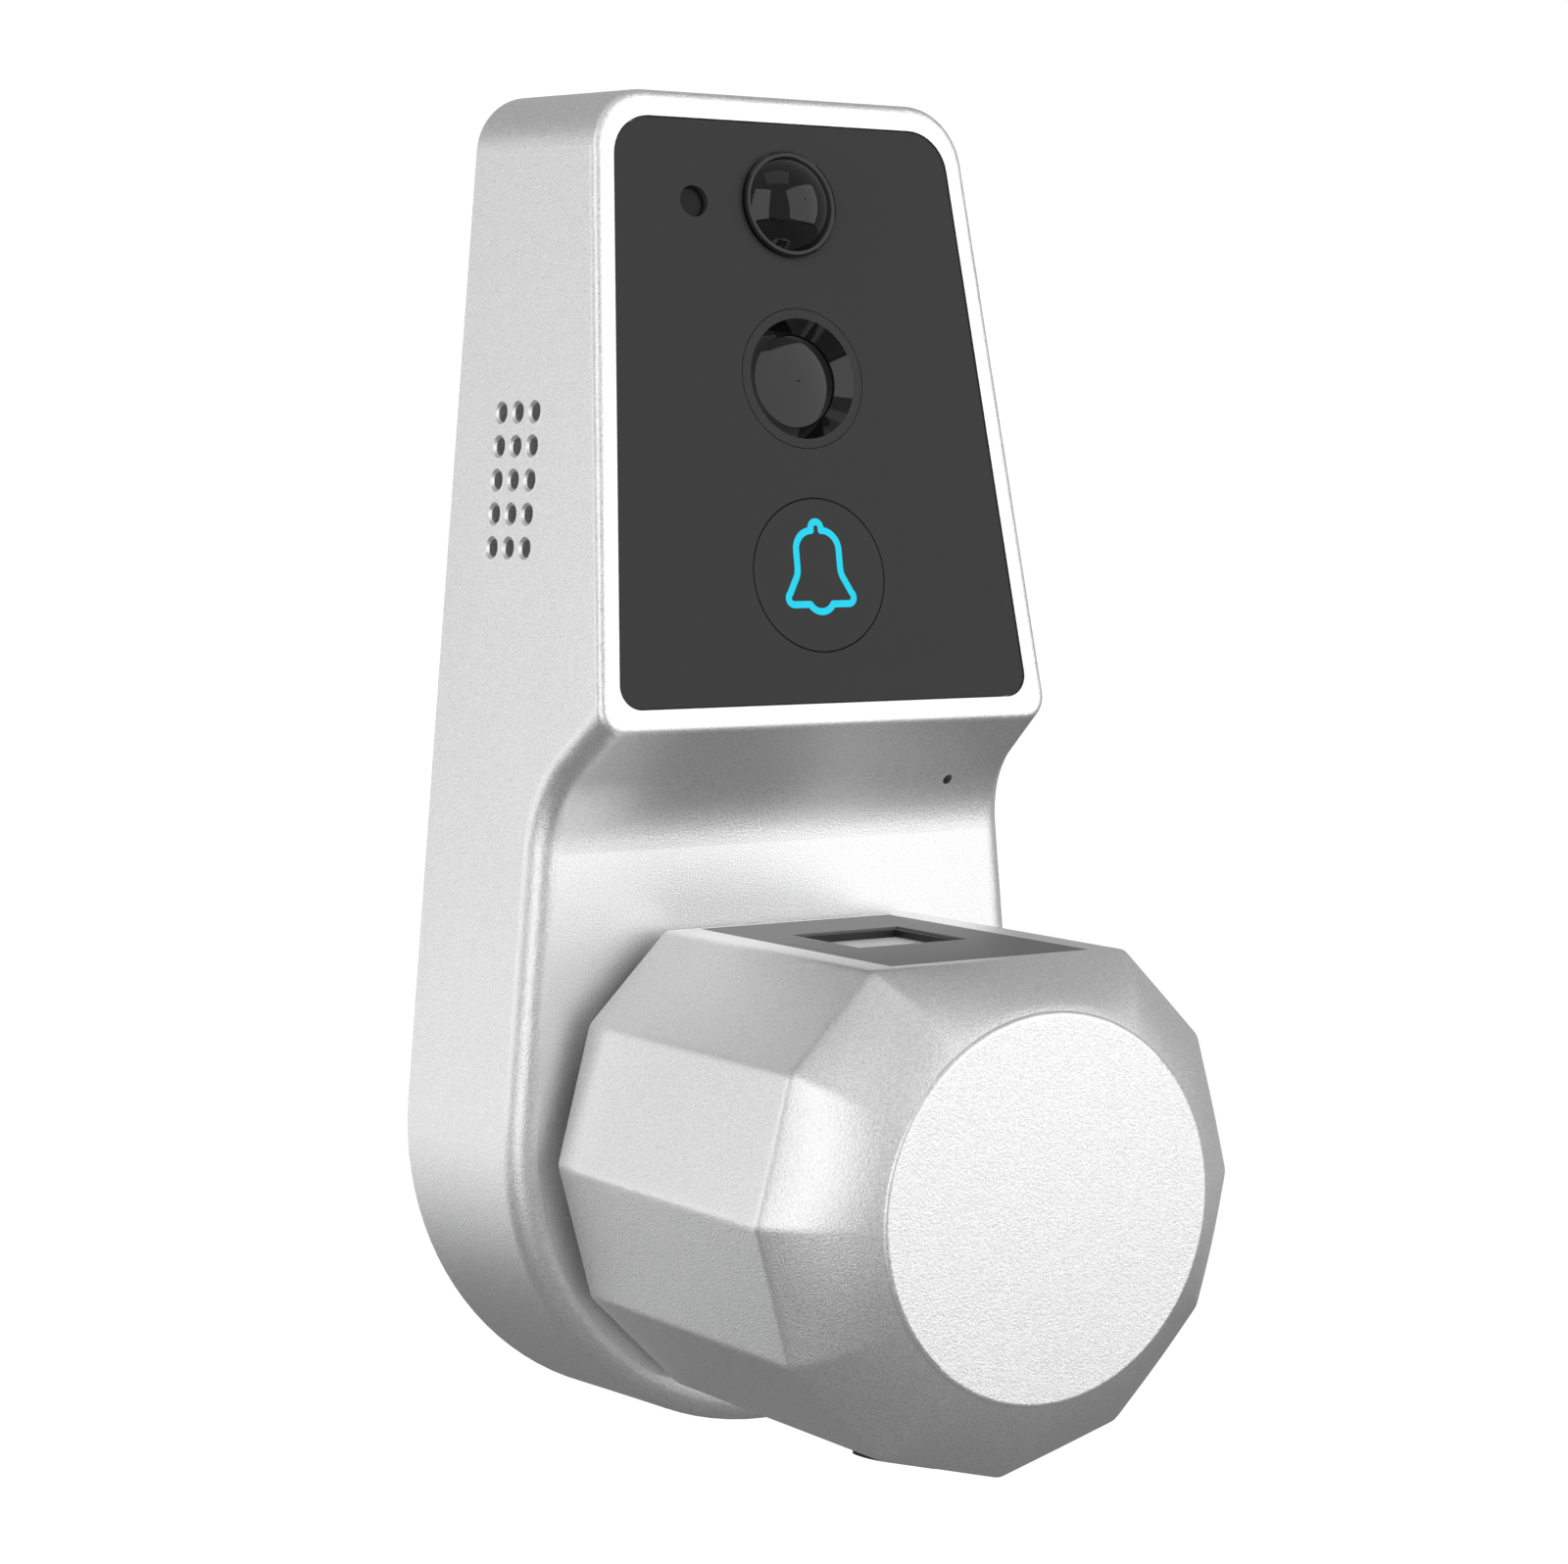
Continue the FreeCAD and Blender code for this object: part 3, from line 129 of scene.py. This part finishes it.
def finish(name, color, rough, metal=0.0, speck=0.0002, depth=0.1, patch=0.03, spread=0.1,
           bump=0.05, **plain):
    """A material with grain in its colour, roughness and surface; plain values go on its shader."""
    material = bpy.data.materials.new(name)
    material.use_nodes = True
    tree = material.node_tree
    link = tree.links.new
    shader = tree.nodes["Principled BSDF"]
    grain = tree.nodes.new("ShaderNodeGroup")
    grain.node_tree = skin_grain
    grain_values = {
        "Color": (*color, 1), "Speck Size": speck, "Speck Depth": depth, "Patch Depth": patch,
        "Roughness": rough, "Roughness Spread": spread,
    }
    for label, value in grain_values.items():
        grain.inputs[label].default_value = value
    relief = tree.nodes.new("ShaderNodeBump")
    relief.inputs["Strength"].default_value = bump
    relief.inputs["Distance"].default_value = speck
    link(grain.outputs["Color"], shader.inputs["Base Color"])
    link(grain.outputs["Roughness"], shader.inputs["Roughness"])
    link(grain.outputs["Height"], relief.inputs["Height"])
    link(relief.outputs["Normal"], shader.inputs["Normal"])
    shader.inputs["Metallic"].default_value = metal
    for label, value in plain.items():
        shader.inputs[label.replace("_", " ")].default_value = value
    return material


def dress(names, material, edge=0.0):
    """Put a material on CAD nodes, and break their sharp edges where a width is given."""
    for name in names:
        piece = nodes[name]
        piece.data.materials.clear()
        piece.data.materials.append(material)
        if edge:
            soft = piece.modifiers.new("broken_edge", "BEVEL")
            soft.width = edge
            soft.segments = 2
            soft.limit_method = "ANGLE"
            soft.angle_limit = BROKEN_ANGLE


def closed_form(name, rings):
    """A closed solid over rings of points with a flat cap at each end."""
    count = len(rings[0])
    points = [point for ring in rings for point in ring]
    faces = []
    for k in range(len(rings) - 1):
        here, beyond = k * count, (k + 1) * count
        for n in range(count):
            after = (n + 1) % count
            faces.append((here + n, beyond + n, beyond + after, here + after))
    last = len(points) - 1
    faces += [tuple(range(count)), tuple(range(last, last - count, -1))]
    mesh = bpy.data.meshes.new(name)
    mesh.from_pydata(points, [], faces)
    form = bmesh.new()
    form.from_mesh(mesh)
    bmesh.ops.recalc_face_normals(form, faces=form.faces)
    form.to_mesh(mesh)
    form.free()
    piece = bpy.data.objects.new(name, mesh)
    bpy.context.scene.collection.objects.link(piece)
    return piece


def round_ring(radius, distance, count=96, roof=1.0, centre=(0, 0)):
    """A ring square to the door at a distance from it, no higher than a roof."""
    across, up = centre
    ring = []
    for n in range(count):
        angle = 2 * math.pi * n / count
        height = up + min(radius * math.sin(angle), roof)
        ring.append((across + radius * math.cos(angle), -distance, height))
    return ring


def square_ring(box_frame, half_x, half_y, height):
    """Four corners of a box's section at a height in its own frame."""
    signs = ((-1, -1), (1, -1), (1, 1), (-1, 1))
    return [tuple(box_frame @ Vector((x * half_x, y * half_y, height))) for x, y in signs]


def carved(blank, tools):
    """Take the tools away from the blank, and remove them."""
    for tool in tools:
        step = blank.modifiers.new("carve", "BOOLEAN")
        step.operation = "DIFFERENCE"
        step.solver = "EXACT"
        step.object = tool
    seen = blank.evaluated_get(bpy.context.evaluated_depsgraph_get())
    mesh = bpy.data.meshes.new_from_object(seen)
    blank.modifiers.clear()
    blank.data = mesh
    for tool in tools:
        bpy.data.objects.remove(tool)
    mesh.shade_smooth()
    mesh.set_sharp_from_angle(angle=SHARP_ANGLE)


def joined(name, pieces):
    """One object from several."""
    form = bmesh.new()
    for piece in pieces:
        form.from_mesh(piece.data)
        bpy.data.objects.remove(piece)
    mesh = bpy.data.meshes.new(name)
    form.to_mesh(mesh)
    form.free()
    mesh.set_sharp_from_angle(angle=SHARP_ANGLE)
    whole = bpy.data.objects.new(name, mesh)
    bpy.context.scene.collection.objects.link(whole)
    return whole


zinc_plate = finish(
    "zinc_plate", ZINC, rough=0.38, metal=1.0, speck=0.0009, depth=0.25, patch=0.12, spread=0.2,
    bump=0.03,
)
dress(
    ["back_plate", "fixing_posts", "knob_base", "knob_base_screws", "main_board_screws",
     "front_board_screws", "shaft_flange_screws"],
    zinc_plate,
)
screws = []
for spot, degrees in zip(SCREW_SPOTS, SCREW_TURNS):
    screw = closed_form(
        "back_screw", [round_ring(r, d, count=48, centre=spot) for r, d in SCREW_SECTION]
    )
    facing_out = Matrix.Rotation(math.radians(90), 4, "X")
    recess = []
    for quarter in (0, 90):
        turned = Matrix.Rotation(math.radians(degrees + quarter), 4, "Y")
        arm = Matrix.Translation((spot[0], 0, spot[1])) @ turned @ facing_out
        recess.append(closed_form(
            "recess", [square_ring(arm, *RECESS_MOUTH), square_ring(arm, *RECESS_FLOOR)]
        ))
    carved(screw, recess)
    screws.append(screw)
plate_screws = joined("plate_screws", screws)
plate_screws.data.materials.append(finish(
    "screw_steel", SCREW_STEEL, rough=0.3, metal=1.0, speck=0.0003, depth=0.2, bump=0.05
))
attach(plate_screws, "housing")
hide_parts("back_plate_screws")
sealing_foam = finish("sealing_foam", FOAM, rough=0.95, speck=0.0005, depth=0.5, bump=0.6)
dress(["wall_gasket", "speaker_gasket"], sealing_foam)

# ---- Housing
# One die-cast shell with drafted walls, a scoop above the knob and a leaning panel frame, held by
# the back plate's screws. It is blasted and sprayed a pale silver, so it has a fine, dry sparkle.

SILVER = (0.9, 0.9, 0.9)
silver_spray = finish(
    "silver_spray", SILVER, rough=0.38, metal=0.94, speck=0.0002, depth=0.8, patch=0.02,
    spread=0.25, bump=0.28,
)
dress(["housing_shell", "knob_end_cap"], silver_spray)

# ---- Boards, speaker and microphone inside the housing
# Glass-fibre boards with green solder mask, a small loudspeaker behind a woven steel mesh,
# and black moulded carriers. They are closed in, and only the mesh shows through its holes.

SOLDER_MASK = (0.01, 0.11, 0.04)
MOULDING = (0.018, 0.018, 0.019)
TIN = (0.62, 0.62, 0.63)
MESH_WIRE = (0.12, 0.12, 0.125)
GUIDE_PAINTED_GLOW = (0.2, 0.75, 0.8)
board_mask = finish("board_mask", SOLDER_MASK, rough=0.35, speck=0.0006, depth=0.4, bump=0.05)
dress(["main_board", "front_board", "camera_board", "reader_board"], board_mask)
black_moulding = finish(
    "black_moulding", MOULDING, rough=0.55, speck=0.0003, depth=0.3, bump=0.12
)
dress(
    ["panel_carrier", "camera_barrel", "camera_sensor", "bell_switch", "cable_header",
     "backup_cell", "microphone", "speaker", "clutch_solenoid"],
    black_moulding,
)
tinned_can = finish(
    "tinned_can", TIN, rough=0.3, metal=1.0, speck=0.0006, depth=0.12, bump=0.03
)
dress(["board_shield", "motion_sensor", "power_port"], tinned_can)
steel_mesh = finish(
    "steel_mesh", MESH_WIRE, rough=0.5, metal=0.8, speck=0.0003, depth=0.8, bump=0.7
)
dress(["speaker_mesh"], steel_mesh)
# The light guide round the bell button is coloured teal as painted glow: the colour stands in for
# the cyan backlight shining out through the gap round the button, and the guide itself gives no
# light.
frosted_guide_painted_glow = finish(
    "frosted_guide_painted_glow", GUIDE_PAINTED_GLOW, rough=0.5, speck=0.0004, depth=0.1, bump=0.1
)
dress(["bell_light_ring"], frosted_guide_painted_glow)

# ---- Front panel
# A flat sheet of dark grey acrylic with a fine matt face, cut with openings for the lenses and
# the button. It is let into the frame, with a thin dark gap all round.

PANEL = (0.053, 0.053, 0.053)
panel_acrylic = finish(
    "panel_acrylic", PANEL, rough=0.62, speck=0.00012, depth=0.05, patch=0.01, spread=0.05,
    bump=0.02, Specular_IOR_Level=0.15,
)
dress(["front_panel"], panel_acrylic)

# ---- Camera, motion lens and light sensor
# A glossy black cone, moulded in one with a ring of the panel's matt finish that lies flush with
# the panel, leads to the camera's front glass. The domed motion lens is glossy black as well,
# and the light sensor is a small dark window set down in its hole.

CAMERA_BLACK = (0.003, 0.003, 0.003)
WINDOW = (0.004, 0.004, 0.004)
PANEL_LEAN = math.radians(8.95)
FLUSH = 0.95
camera_black = finish(
    "camera_black", CAMERA_BLACK, rough=0.06, speck=0.0004, depth=0.3, spread=0.02, bump=0.002
)
dress(["camera_bezel"], panel_acrylic)
dress(["camera_lens", "motion_lens"], camera_black)
bezel = nodes["camera_bezel"]
bezel.data.materials.append(camera_black)
panel_out = Vector((0, -math.cos(PANEL_LEAN), math.sin(PANEL_LEAN)))
for face in bezel.data.polygons:
    facing = (bezel.matrix_world.to_3x3() @ face.normal).dot(panel_out)
    face.material_index = 0 if facing > FLUSH else 1
dark_window = finish(
    "dark_window", WINDOW, rough=0.35, speck=0.0004, depth=0.3, bump=0.01,
    Specular_IOR_Level=0.2,
)
dress(["light_sensor"], dark_window)

# ---- Bell button
# A disc of the panel's acrylic that presses a switch behind it. The bell sign is a clear moulding
# let into its face and lit from behind.

SIGN_UNLIT = (0.004, 0.05, 0.07)
CYAN = (0.0203, 0.6867, 0.9047)
dress(["bell_button"], panel_acrylic)
lit_sign = finish(
    "lit_sign", SIGN_UNLIT, rough=0.6, speck=0.0003, depth=0.05, bump=0.02,
    Specular_IOR_Level=0.1, Emission_Color=(*CYAN, 1), Emission_Strength=0.93,
)
dress(["bell_icon"], lit_sign)

# ---- Drive line
# A turned steel shaft, cam, clip and clutch pin, a wire return spring, and a square spindle that
# reaches into the lock. They run in two moulded plastic bushes.

STEEL = (0.55, 0.55, 0.56)
BUSH = (0.55, 0.55, 0.52)
bright_steel = finish(
    "bright_steel", STEEL, rough=0.28, metal=1.0, speck=0.0005, depth=0.12, bump=0.03
)
dress(
    ["knob_shaft", "shaft_circlip", "stop_cam", "stop_pins", "clutch_pin", "spindle_hub",
     "return_spring"],
    bright_steel,
)
dress(["spindle"], bright_steel, edge=0.0004)
bush_plastic = finish("bush_plastic", BUSH, rough=0.5, speck=0.0004, depth=0.1, bump=0.05)
dress(["spindle_bearing", "knob_bush"], bush_plastic)

# ---- Knob shell
# A die-cast twelve-sided grip with a flat on top; its nose runs from the straight rim to a round
# end. The ridges are softened by tumbling, and the seats for the shaft, cap, reader and port are
# cut before the silver spray.

KNOB_REAR, KNOB_RIM, KNOB_SHOULDER, KNOB_NOSE = 0.0265, 0.0670, 0.0698, 0.07535
REAR_CORNER, RIM_CORNER, SHOULDER_CORNER, NOSE_RADIUS = 0.03035, 0.02998, 0.0277, 0.02075
KNOB_FLAT = 0.02484
KNOB_END = 0.07570
KNOB_SIDES = 12
AROUND = 480
SAMPLE = 0.0002
RIDGE_SOFTNESS = 0.0008
RIM_SOFTNESS = 0.0010
REAR_OVERRUN = 0.002
NOSE_PATH, NOSE_OVERRUN = 0.0125, 1.2
SHOULDER_BULGE = 0.25
# Where the rings of the surface stand: along the straight part, over the rim, and over the nose.
REAR_RINGS = (0, 0.00008, 0.0003, 0.004, 0.012, 0.024, 0.034)
REAR_TRIM = (0.0003, 0.0001, 0)
RIM_BAND, RIM_STEP = 0.0014, 0.00022
NOSE_GAP, NOSE_RINGS = 0.0015, 15
CAVITY_RADIUS, CAVITY_ROOF, CAVITY_FRONT = 0.0269, 0.0224, 0.064
CAVITY_END = (0.018, 0.0732)
CAP_SEAT = [(0.0205, 0.0740), (0.0205, 0.0752), (0.02034, 0.0757), (0.02034, 0.080)]
BED_REAR, BED_FRONT, BED_HALF_WIDTH, BED_DEPTH = 0.0274, 0.0653, 0.0126, 0.0012
SENSOR_REAR, SENSOR_FRONT, SENSOR_HALF_WIDTH, SENSOR_DEPTH = 0.0375, 0.0510, 0.0070, 0.006
ABOVE_FLAT = 0.01
PORT_TURN, PORT_OUT, PORT_DISTANCE = math.radians(255), 0.029032, 0.059
PORT_HALF_LENGTH, PORT_HALF_WIDTH, PORT_DEPTH, PORT_ABOVE = 0.0038, 0.0014, 0.008, 0.004


def grip_radius(corner):
    """Radius of the grip's section at each direction: ten sides and the wider flat on top."""
    step = 2 * math.pi / KNOB_SIDES
    shoulder = corner * (math.cos(step) + math.sin(step)) - KNOB_FLAT
    corners = [(shoulder, KNOB_FLAT), (-shoulder, KNOB_FLAT)]
    for n in range(KNOB_SIDES - 3):
        angle = math.pi + (n - 1) * step
        corners.append((corner * math.cos(angle), corner * math.sin(angle)))
    angles = [math.atan2(z, x) % (2 * math.pi) for x, z in corners]
    radius = np.zeros(AROUND)
    for k, (x, z) in enumerate(corners):
        following = (k + 1) % len(corners)
        slope_x, slope_z = corners[following][0] - x, corners[following][1] - z
        span = (angles[following] - angles[k]) % (2 * math.pi)
        within = (directions - angles[k]) % (2 * math.pi) < span
        cosine, sine = np.cos(directions[within]), np.sin(directions[within])
        radius[within] = (x * slope_z - z * slope_x) / (cosine * slope_z - sine * slope_x)
    return radius


def softened(values, reach, axis):
    """A running average with a peaked weight, which rounds off a ridge."""
    weights = np.bartlett(2 * reach + 1)
    weights /= weights.sum()
    return sum(w * np.roll(values, k - reach, axis=axis) for k, w in enumerate(weights))


def grip_surface():
    """Rings of points over the grip from its rear edge to the round end of the nose."""
    knee = math.hypot(RIM_CORNER - SHOULDER_CORNER, KNOB_SHOULDER - KNOB_RIM)
    knee /= knee + math.hypot(SHOULDER_CORNER - NOSE_RADIUS, KNOB_NOSE - KNOB_SHOULDER)

    def through(t, first, second, last):
        """A curve with its first value at 0, its second at the knee and its last at 1."""
        lean = ((second - first) / knee - (last - first)) / (knee - 1)
        return first + (last - first - lean) * t + lean * t * t

    distances, rings = [], []
    for distance in np.arange(KNOB_REAR - REAR_OVERRUN, KNOB_RIM, SAMPLE):
        share = (distance - KNOB_REAR) / (KNOB_RIM - KNOB_REAR)
        distances.append(distance)
        rings.append(grip_radius(REAR_CORNER + (RIM_CORNER - REAR_CORNER) * share))
    rim_ring = grip_radius(RIM_CORNER)
    for t in np.arange(0, NOSE_OVERRUN, SAMPLE / NOSE_PATH):
        corner = through(t, RIM_CORNER, SHOULDER_CORNER, NOSE_RADIUS)
        bulge = min(through(t, 0, SHOULDER_BULGE, 1), 1)
        distances.append(through(t, KNOB_RIM, KNOB_SHOULDER, KNOB_NOSE))
        rings.append((rim_ring * (1 - bulge) + RIM_CORNER * bulge) * corner / RIM_CORNER)
    ridge_reach = round(RIDGE_SOFTNESS / RIM_CORNER * AROUND / 2 / math.pi)
    rings = softened(np.array(rings), ridge_reach, 1)
    reach = round(RIM_SOFTNESS / SAMPLE)
    rings = softened(rings, reach, 0)[reach:-reach]
    distances = softened(np.array(distances), reach, 0)[reach:-reach]
    chosen = [KNOB_REAR + step for step in REAR_RINGS]
    chosen += list(np.arange(KNOB_RIM - RIM_BAND, KNOB_RIM + RIM_BAND, RIM_STEP))
    chosen += list(np.linspace(KNOB_RIM + NOSE_GAP, KNOB_END, NOSE_RINGS))
    surface = []
    for number, distance in enumerate(chosen):
        at = int(np.searchsorted(distances, distance))
        share = (distance - distances[at - 1]) / (distances[at] - distances[at - 1])
        ring = rings[at - 1] * (1 - share) + rings[at] * share
        if number < len(REAR_TRIM):
            ring = ring - REAR_TRIM[number]
        surface.append((distance, ring))
    return surface


directions = np.arange(AROUND) * 2 * math.pi / AROUND
grip = closed_form("knob_grip", [
    [(r * math.cos(a), -distance, r * math.sin(a)) for r, a in zip(ring, directions)]
    for distance, ring in grip_surface()
])
cavity = closed_form("cavity", [
    round_ring(CAVITY_RADIUS, KNOB_REAR - 0.001, roof=CAVITY_ROOF),
    round_ring(CAVITY_RADIUS, CAVITY_FRONT, roof=CAVITY_ROOF),
    round_ring(*CAVITY_END),
])
cap_seat = closed_form("cap_seat", [round_ring(r, d) for r, d in CAP_SEAT])
bed_frame = Matrix.Translation((0, -(BED_REAR + BED_FRONT) / 2, KNOB_FLAT))
bed = closed_form("bed", [
    square_ring(bed_frame, BED_HALF_WIDTH, (BED_FRONT - BED_REAR) / 2, height)
    for height in (-BED_DEPTH, ABOVE_FLAT)
])
sensor_frame = Matrix.Translation((0, -(SENSOR_REAR + SENSOR_FRONT) / 2, KNOB_FLAT))
sensor_shaft = closed_form("shaft", [
    square_ring(sensor_frame, SENSOR_HALF_WIDTH, (SENSOR_FRONT - SENSOR_REAR) / 2, height)
    for height in (-SENSOR_DEPTH, ABOVE_FLAT)
])
facet_out = Vector((math.cos(PORT_TURN), 0, math.sin(PORT_TURN)))
facet_side = Vector((-facet_out.z, 0, facet_out.x))
facet_axes = Matrix((facet_side, (0, -1, 0), facet_out)).transposed().to_4x4()
port_middle = facet_out * PORT_OUT + Vector((0, -PORT_DISTANCE, 0))
port_frame = Matrix.Translation(port_middle) @ facet_axes
port_slot = closed_form("slot", [
    square_ring(port_frame, PORT_HALF_LENGTH, PORT_HALF_WIDTH, height)
    for height in (-PORT_DEPTH, PORT_ABOVE)
])
carved(grip, [cavity, cap_seat, bed, sensor_shaft, port_slot])
grip.data.materials.clear()
grip.data.materials.append(silver_spray)
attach(grip, "knob")
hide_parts("knob_shell")

# ---- Fingerprint reader
# An anodised aluminium plate bonded in flush with the flat, a black moulded bezel stepped down in
# its window, and the grey coated face of the sensor.

READER_PLATE = (0.2, 0.2, 0.2)
BEZEL = (0.02, 0.02, 0.02)
SENSOR_FACE = (0.75, 0.75, 0.75)
reader_anodised = finish(
    "reader_anodised", READER_PLATE, rough=0.5, metal=0.3, speck=0.0002, depth=0.12, bump=0.05
)
dress(["reader_plate"], reader_anodised, edge=0.00008)
bezel_black = finish("bezel_black", BEZEL, rough=0.4, speck=0.0003, depth=0.1, bump=0.02)
dress(["sensor_bezel"], bezel_black)
sensor_grey = finish("sensor_grey", SENSOR_FACE, rough=0.4, speck=0.0002, depth=0.06, bump=0.02)
dress(["fingerprint_sensor"], sensor_grey)

# ---- Port cover
# A moulded black rubber flap over the emergency supply port under the knob. It is held at one
# end, where it bends when it is pulled open.

RUBBER = (0.018, 0.018, 0.018)
cover_rubber = finish("cover_rubber", RUBBER, rough=0.8, speck=0.0003, depth=0.3, bump=0.2)
dress(["port_cover"], cover_rubber)

# ---- Studio
# A plain pale floor well below the part, large soft lights, and the camera. The camera sees floor
# and air as white, while the light that they send to the part is dimmer.

FLOOR_DROP, FLOOR_REACH = 0.5, 1.6
PAPER = (0.28, 0.28, 0.28, 1)
AIR_LIGHT, WHITE_LIGHT = 0.38, 1.05
MIDDLE = Vector((0.0, -0.03, 0.04))
CAMERA_AT = Vector((-0.218825, -0.371119, 0.073488))
YAW, PITCH, ROLL = math.radians(32.30), math.radians(-4.61), math.radians(-0.08)
SENSOR_WIDTH, FOCAL_LENGTH = 36.0, 83.46


def camera_sees(tree, seen, lit, surface):
    """Show the camera one shader, and light everything else with another."""
    path = tree.nodes.new("ShaderNodeLightPath")
    mix = tree.nodes.new("ShaderNodeMixShader")
    tree.links.new(path.outputs["Is Camera Ray"], mix.inputs[0])
    tree.links.new(lit.outputs[0], mix.inputs[1])
    tree.links.new(seen.outputs[0], mix.inputs[2])
    tree.links.new(mix.outputs[0], surface)


def softbox(name, position, width, height, watts):
    """A rectangular studio light that faces the middle of the part."""
    lamp = bpy.data.lights.new(name, "AREA")
    lamp.shape = "RECTANGLE"
    lamp.size = width
    lamp.size_y = height
    lamp.energy = watts
    holder = bpy.data.objects.new(name, lamp)
    holder.location = position
    holder.rotation_euler = (MIDDLE - Vector(position)).to_track_quat("-Z", "Y").to_euler()
    bpy.context.scene.collection.objects.link(holder)


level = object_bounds()[0][2] - FLOOR_DROP
floor_corners = [
    (x * FLOOR_REACH, y * FLOOR_REACH, level) for x, y in ((-1, -1), (1, -1), (1, 1), (-1, 1))
]
floor_mesh = bpy.data.meshes.new("studio_floor")
floor_mesh.from_pydata(floor_corners, [], [(0, 1, 2, 3)])
floor = bpy.data.objects.new("studio_floor", floor_mesh)
bpy.context.scene.collection.objects.link(floor)
paper = bpy.data.materials.new("studio_paper")
paper.use_nodes = True
sheet = paper.node_tree
sheet_lit = sheet.nodes["Principled BSDF"]
sheet_lit.inputs["Base Color"].default_value = PAPER
sheet_lit.inputs["Roughness"].default_value = 0.9
sheet_seen = sheet.nodes.new("ShaderNodeEmission")
sheet_seen.inputs["Strength"].default_value = WHITE_LIGHT
camera_sees(sheet, sheet_seen, sheet_lit, sheet.nodes["Material Output"].inputs["Surface"])
floor_mesh.materials.append(paper)

world = bpy.data.worlds.new("studio_air")
world.use_nodes = True
air = world.node_tree
air_lit = air.nodes["Background"]
air_seen = air.nodes.new("ShaderNodeBackground")
for shade, strength in ((air_lit, AIR_LIGHT), (air_seen, WHITE_LIGHT)):
    shade.inputs["Color"].default_value = (1, 1, 1, 1)
    shade.inputs["Strength"].default_value = strength
camera_sees(air, air_seen, air_lit, air.nodes["World Output"].inputs["Surface"])
bpy.context.scene.world = world

softbox("front_box", (0.66, -1.15, 0.33), width=1.75, height=1.6, watts=9.6)
softbox("fill_box", (-1.14, -0.68, 0.30), width=0.8, height=1.5, watts=4.6)
softbox("left_box", (-1.1, 0.75, 0.15), width=0.9, height=0.9, watts=2.3)
softbox("low_box", (-0.4, 1.1, -0.36), width=0.9, height=0.5, watts=1.0)
softbox("top_box", (-0.2, -0.5, 1.3), width=0.9, height=0.7, watts=0.7)
bpy.context.scene.view_settings.view_transform = "Standard"

view_axis = Vector((
    math.sin(YAW) * math.cos(PITCH), math.cos(YAW) * math.cos(PITCH), math.sin(PITCH)
))
lens = bpy.data.cameras.new("portrait_camera")
lens.sensor_fit = "HORIZONTAL"
lens.sensor_width = SENSOR_WIDTH
lens.lens = FOCAL_LENGTH
lens.clip_start = 0.01
viewer = bpy.data.objects.new("portrait_camera", lens)
turn = view_axis.to_track_quat("-Z", "Y").to_matrix().to_4x4()
viewer.matrix_world = Matrix.Translation(CAMERA_AT) @ turn @ Matrix.Rotation(ROLL, 4, "Z")
bpy.context.scene.collection.objects.link(viewer)
bpy.context.scene.camera = viewer
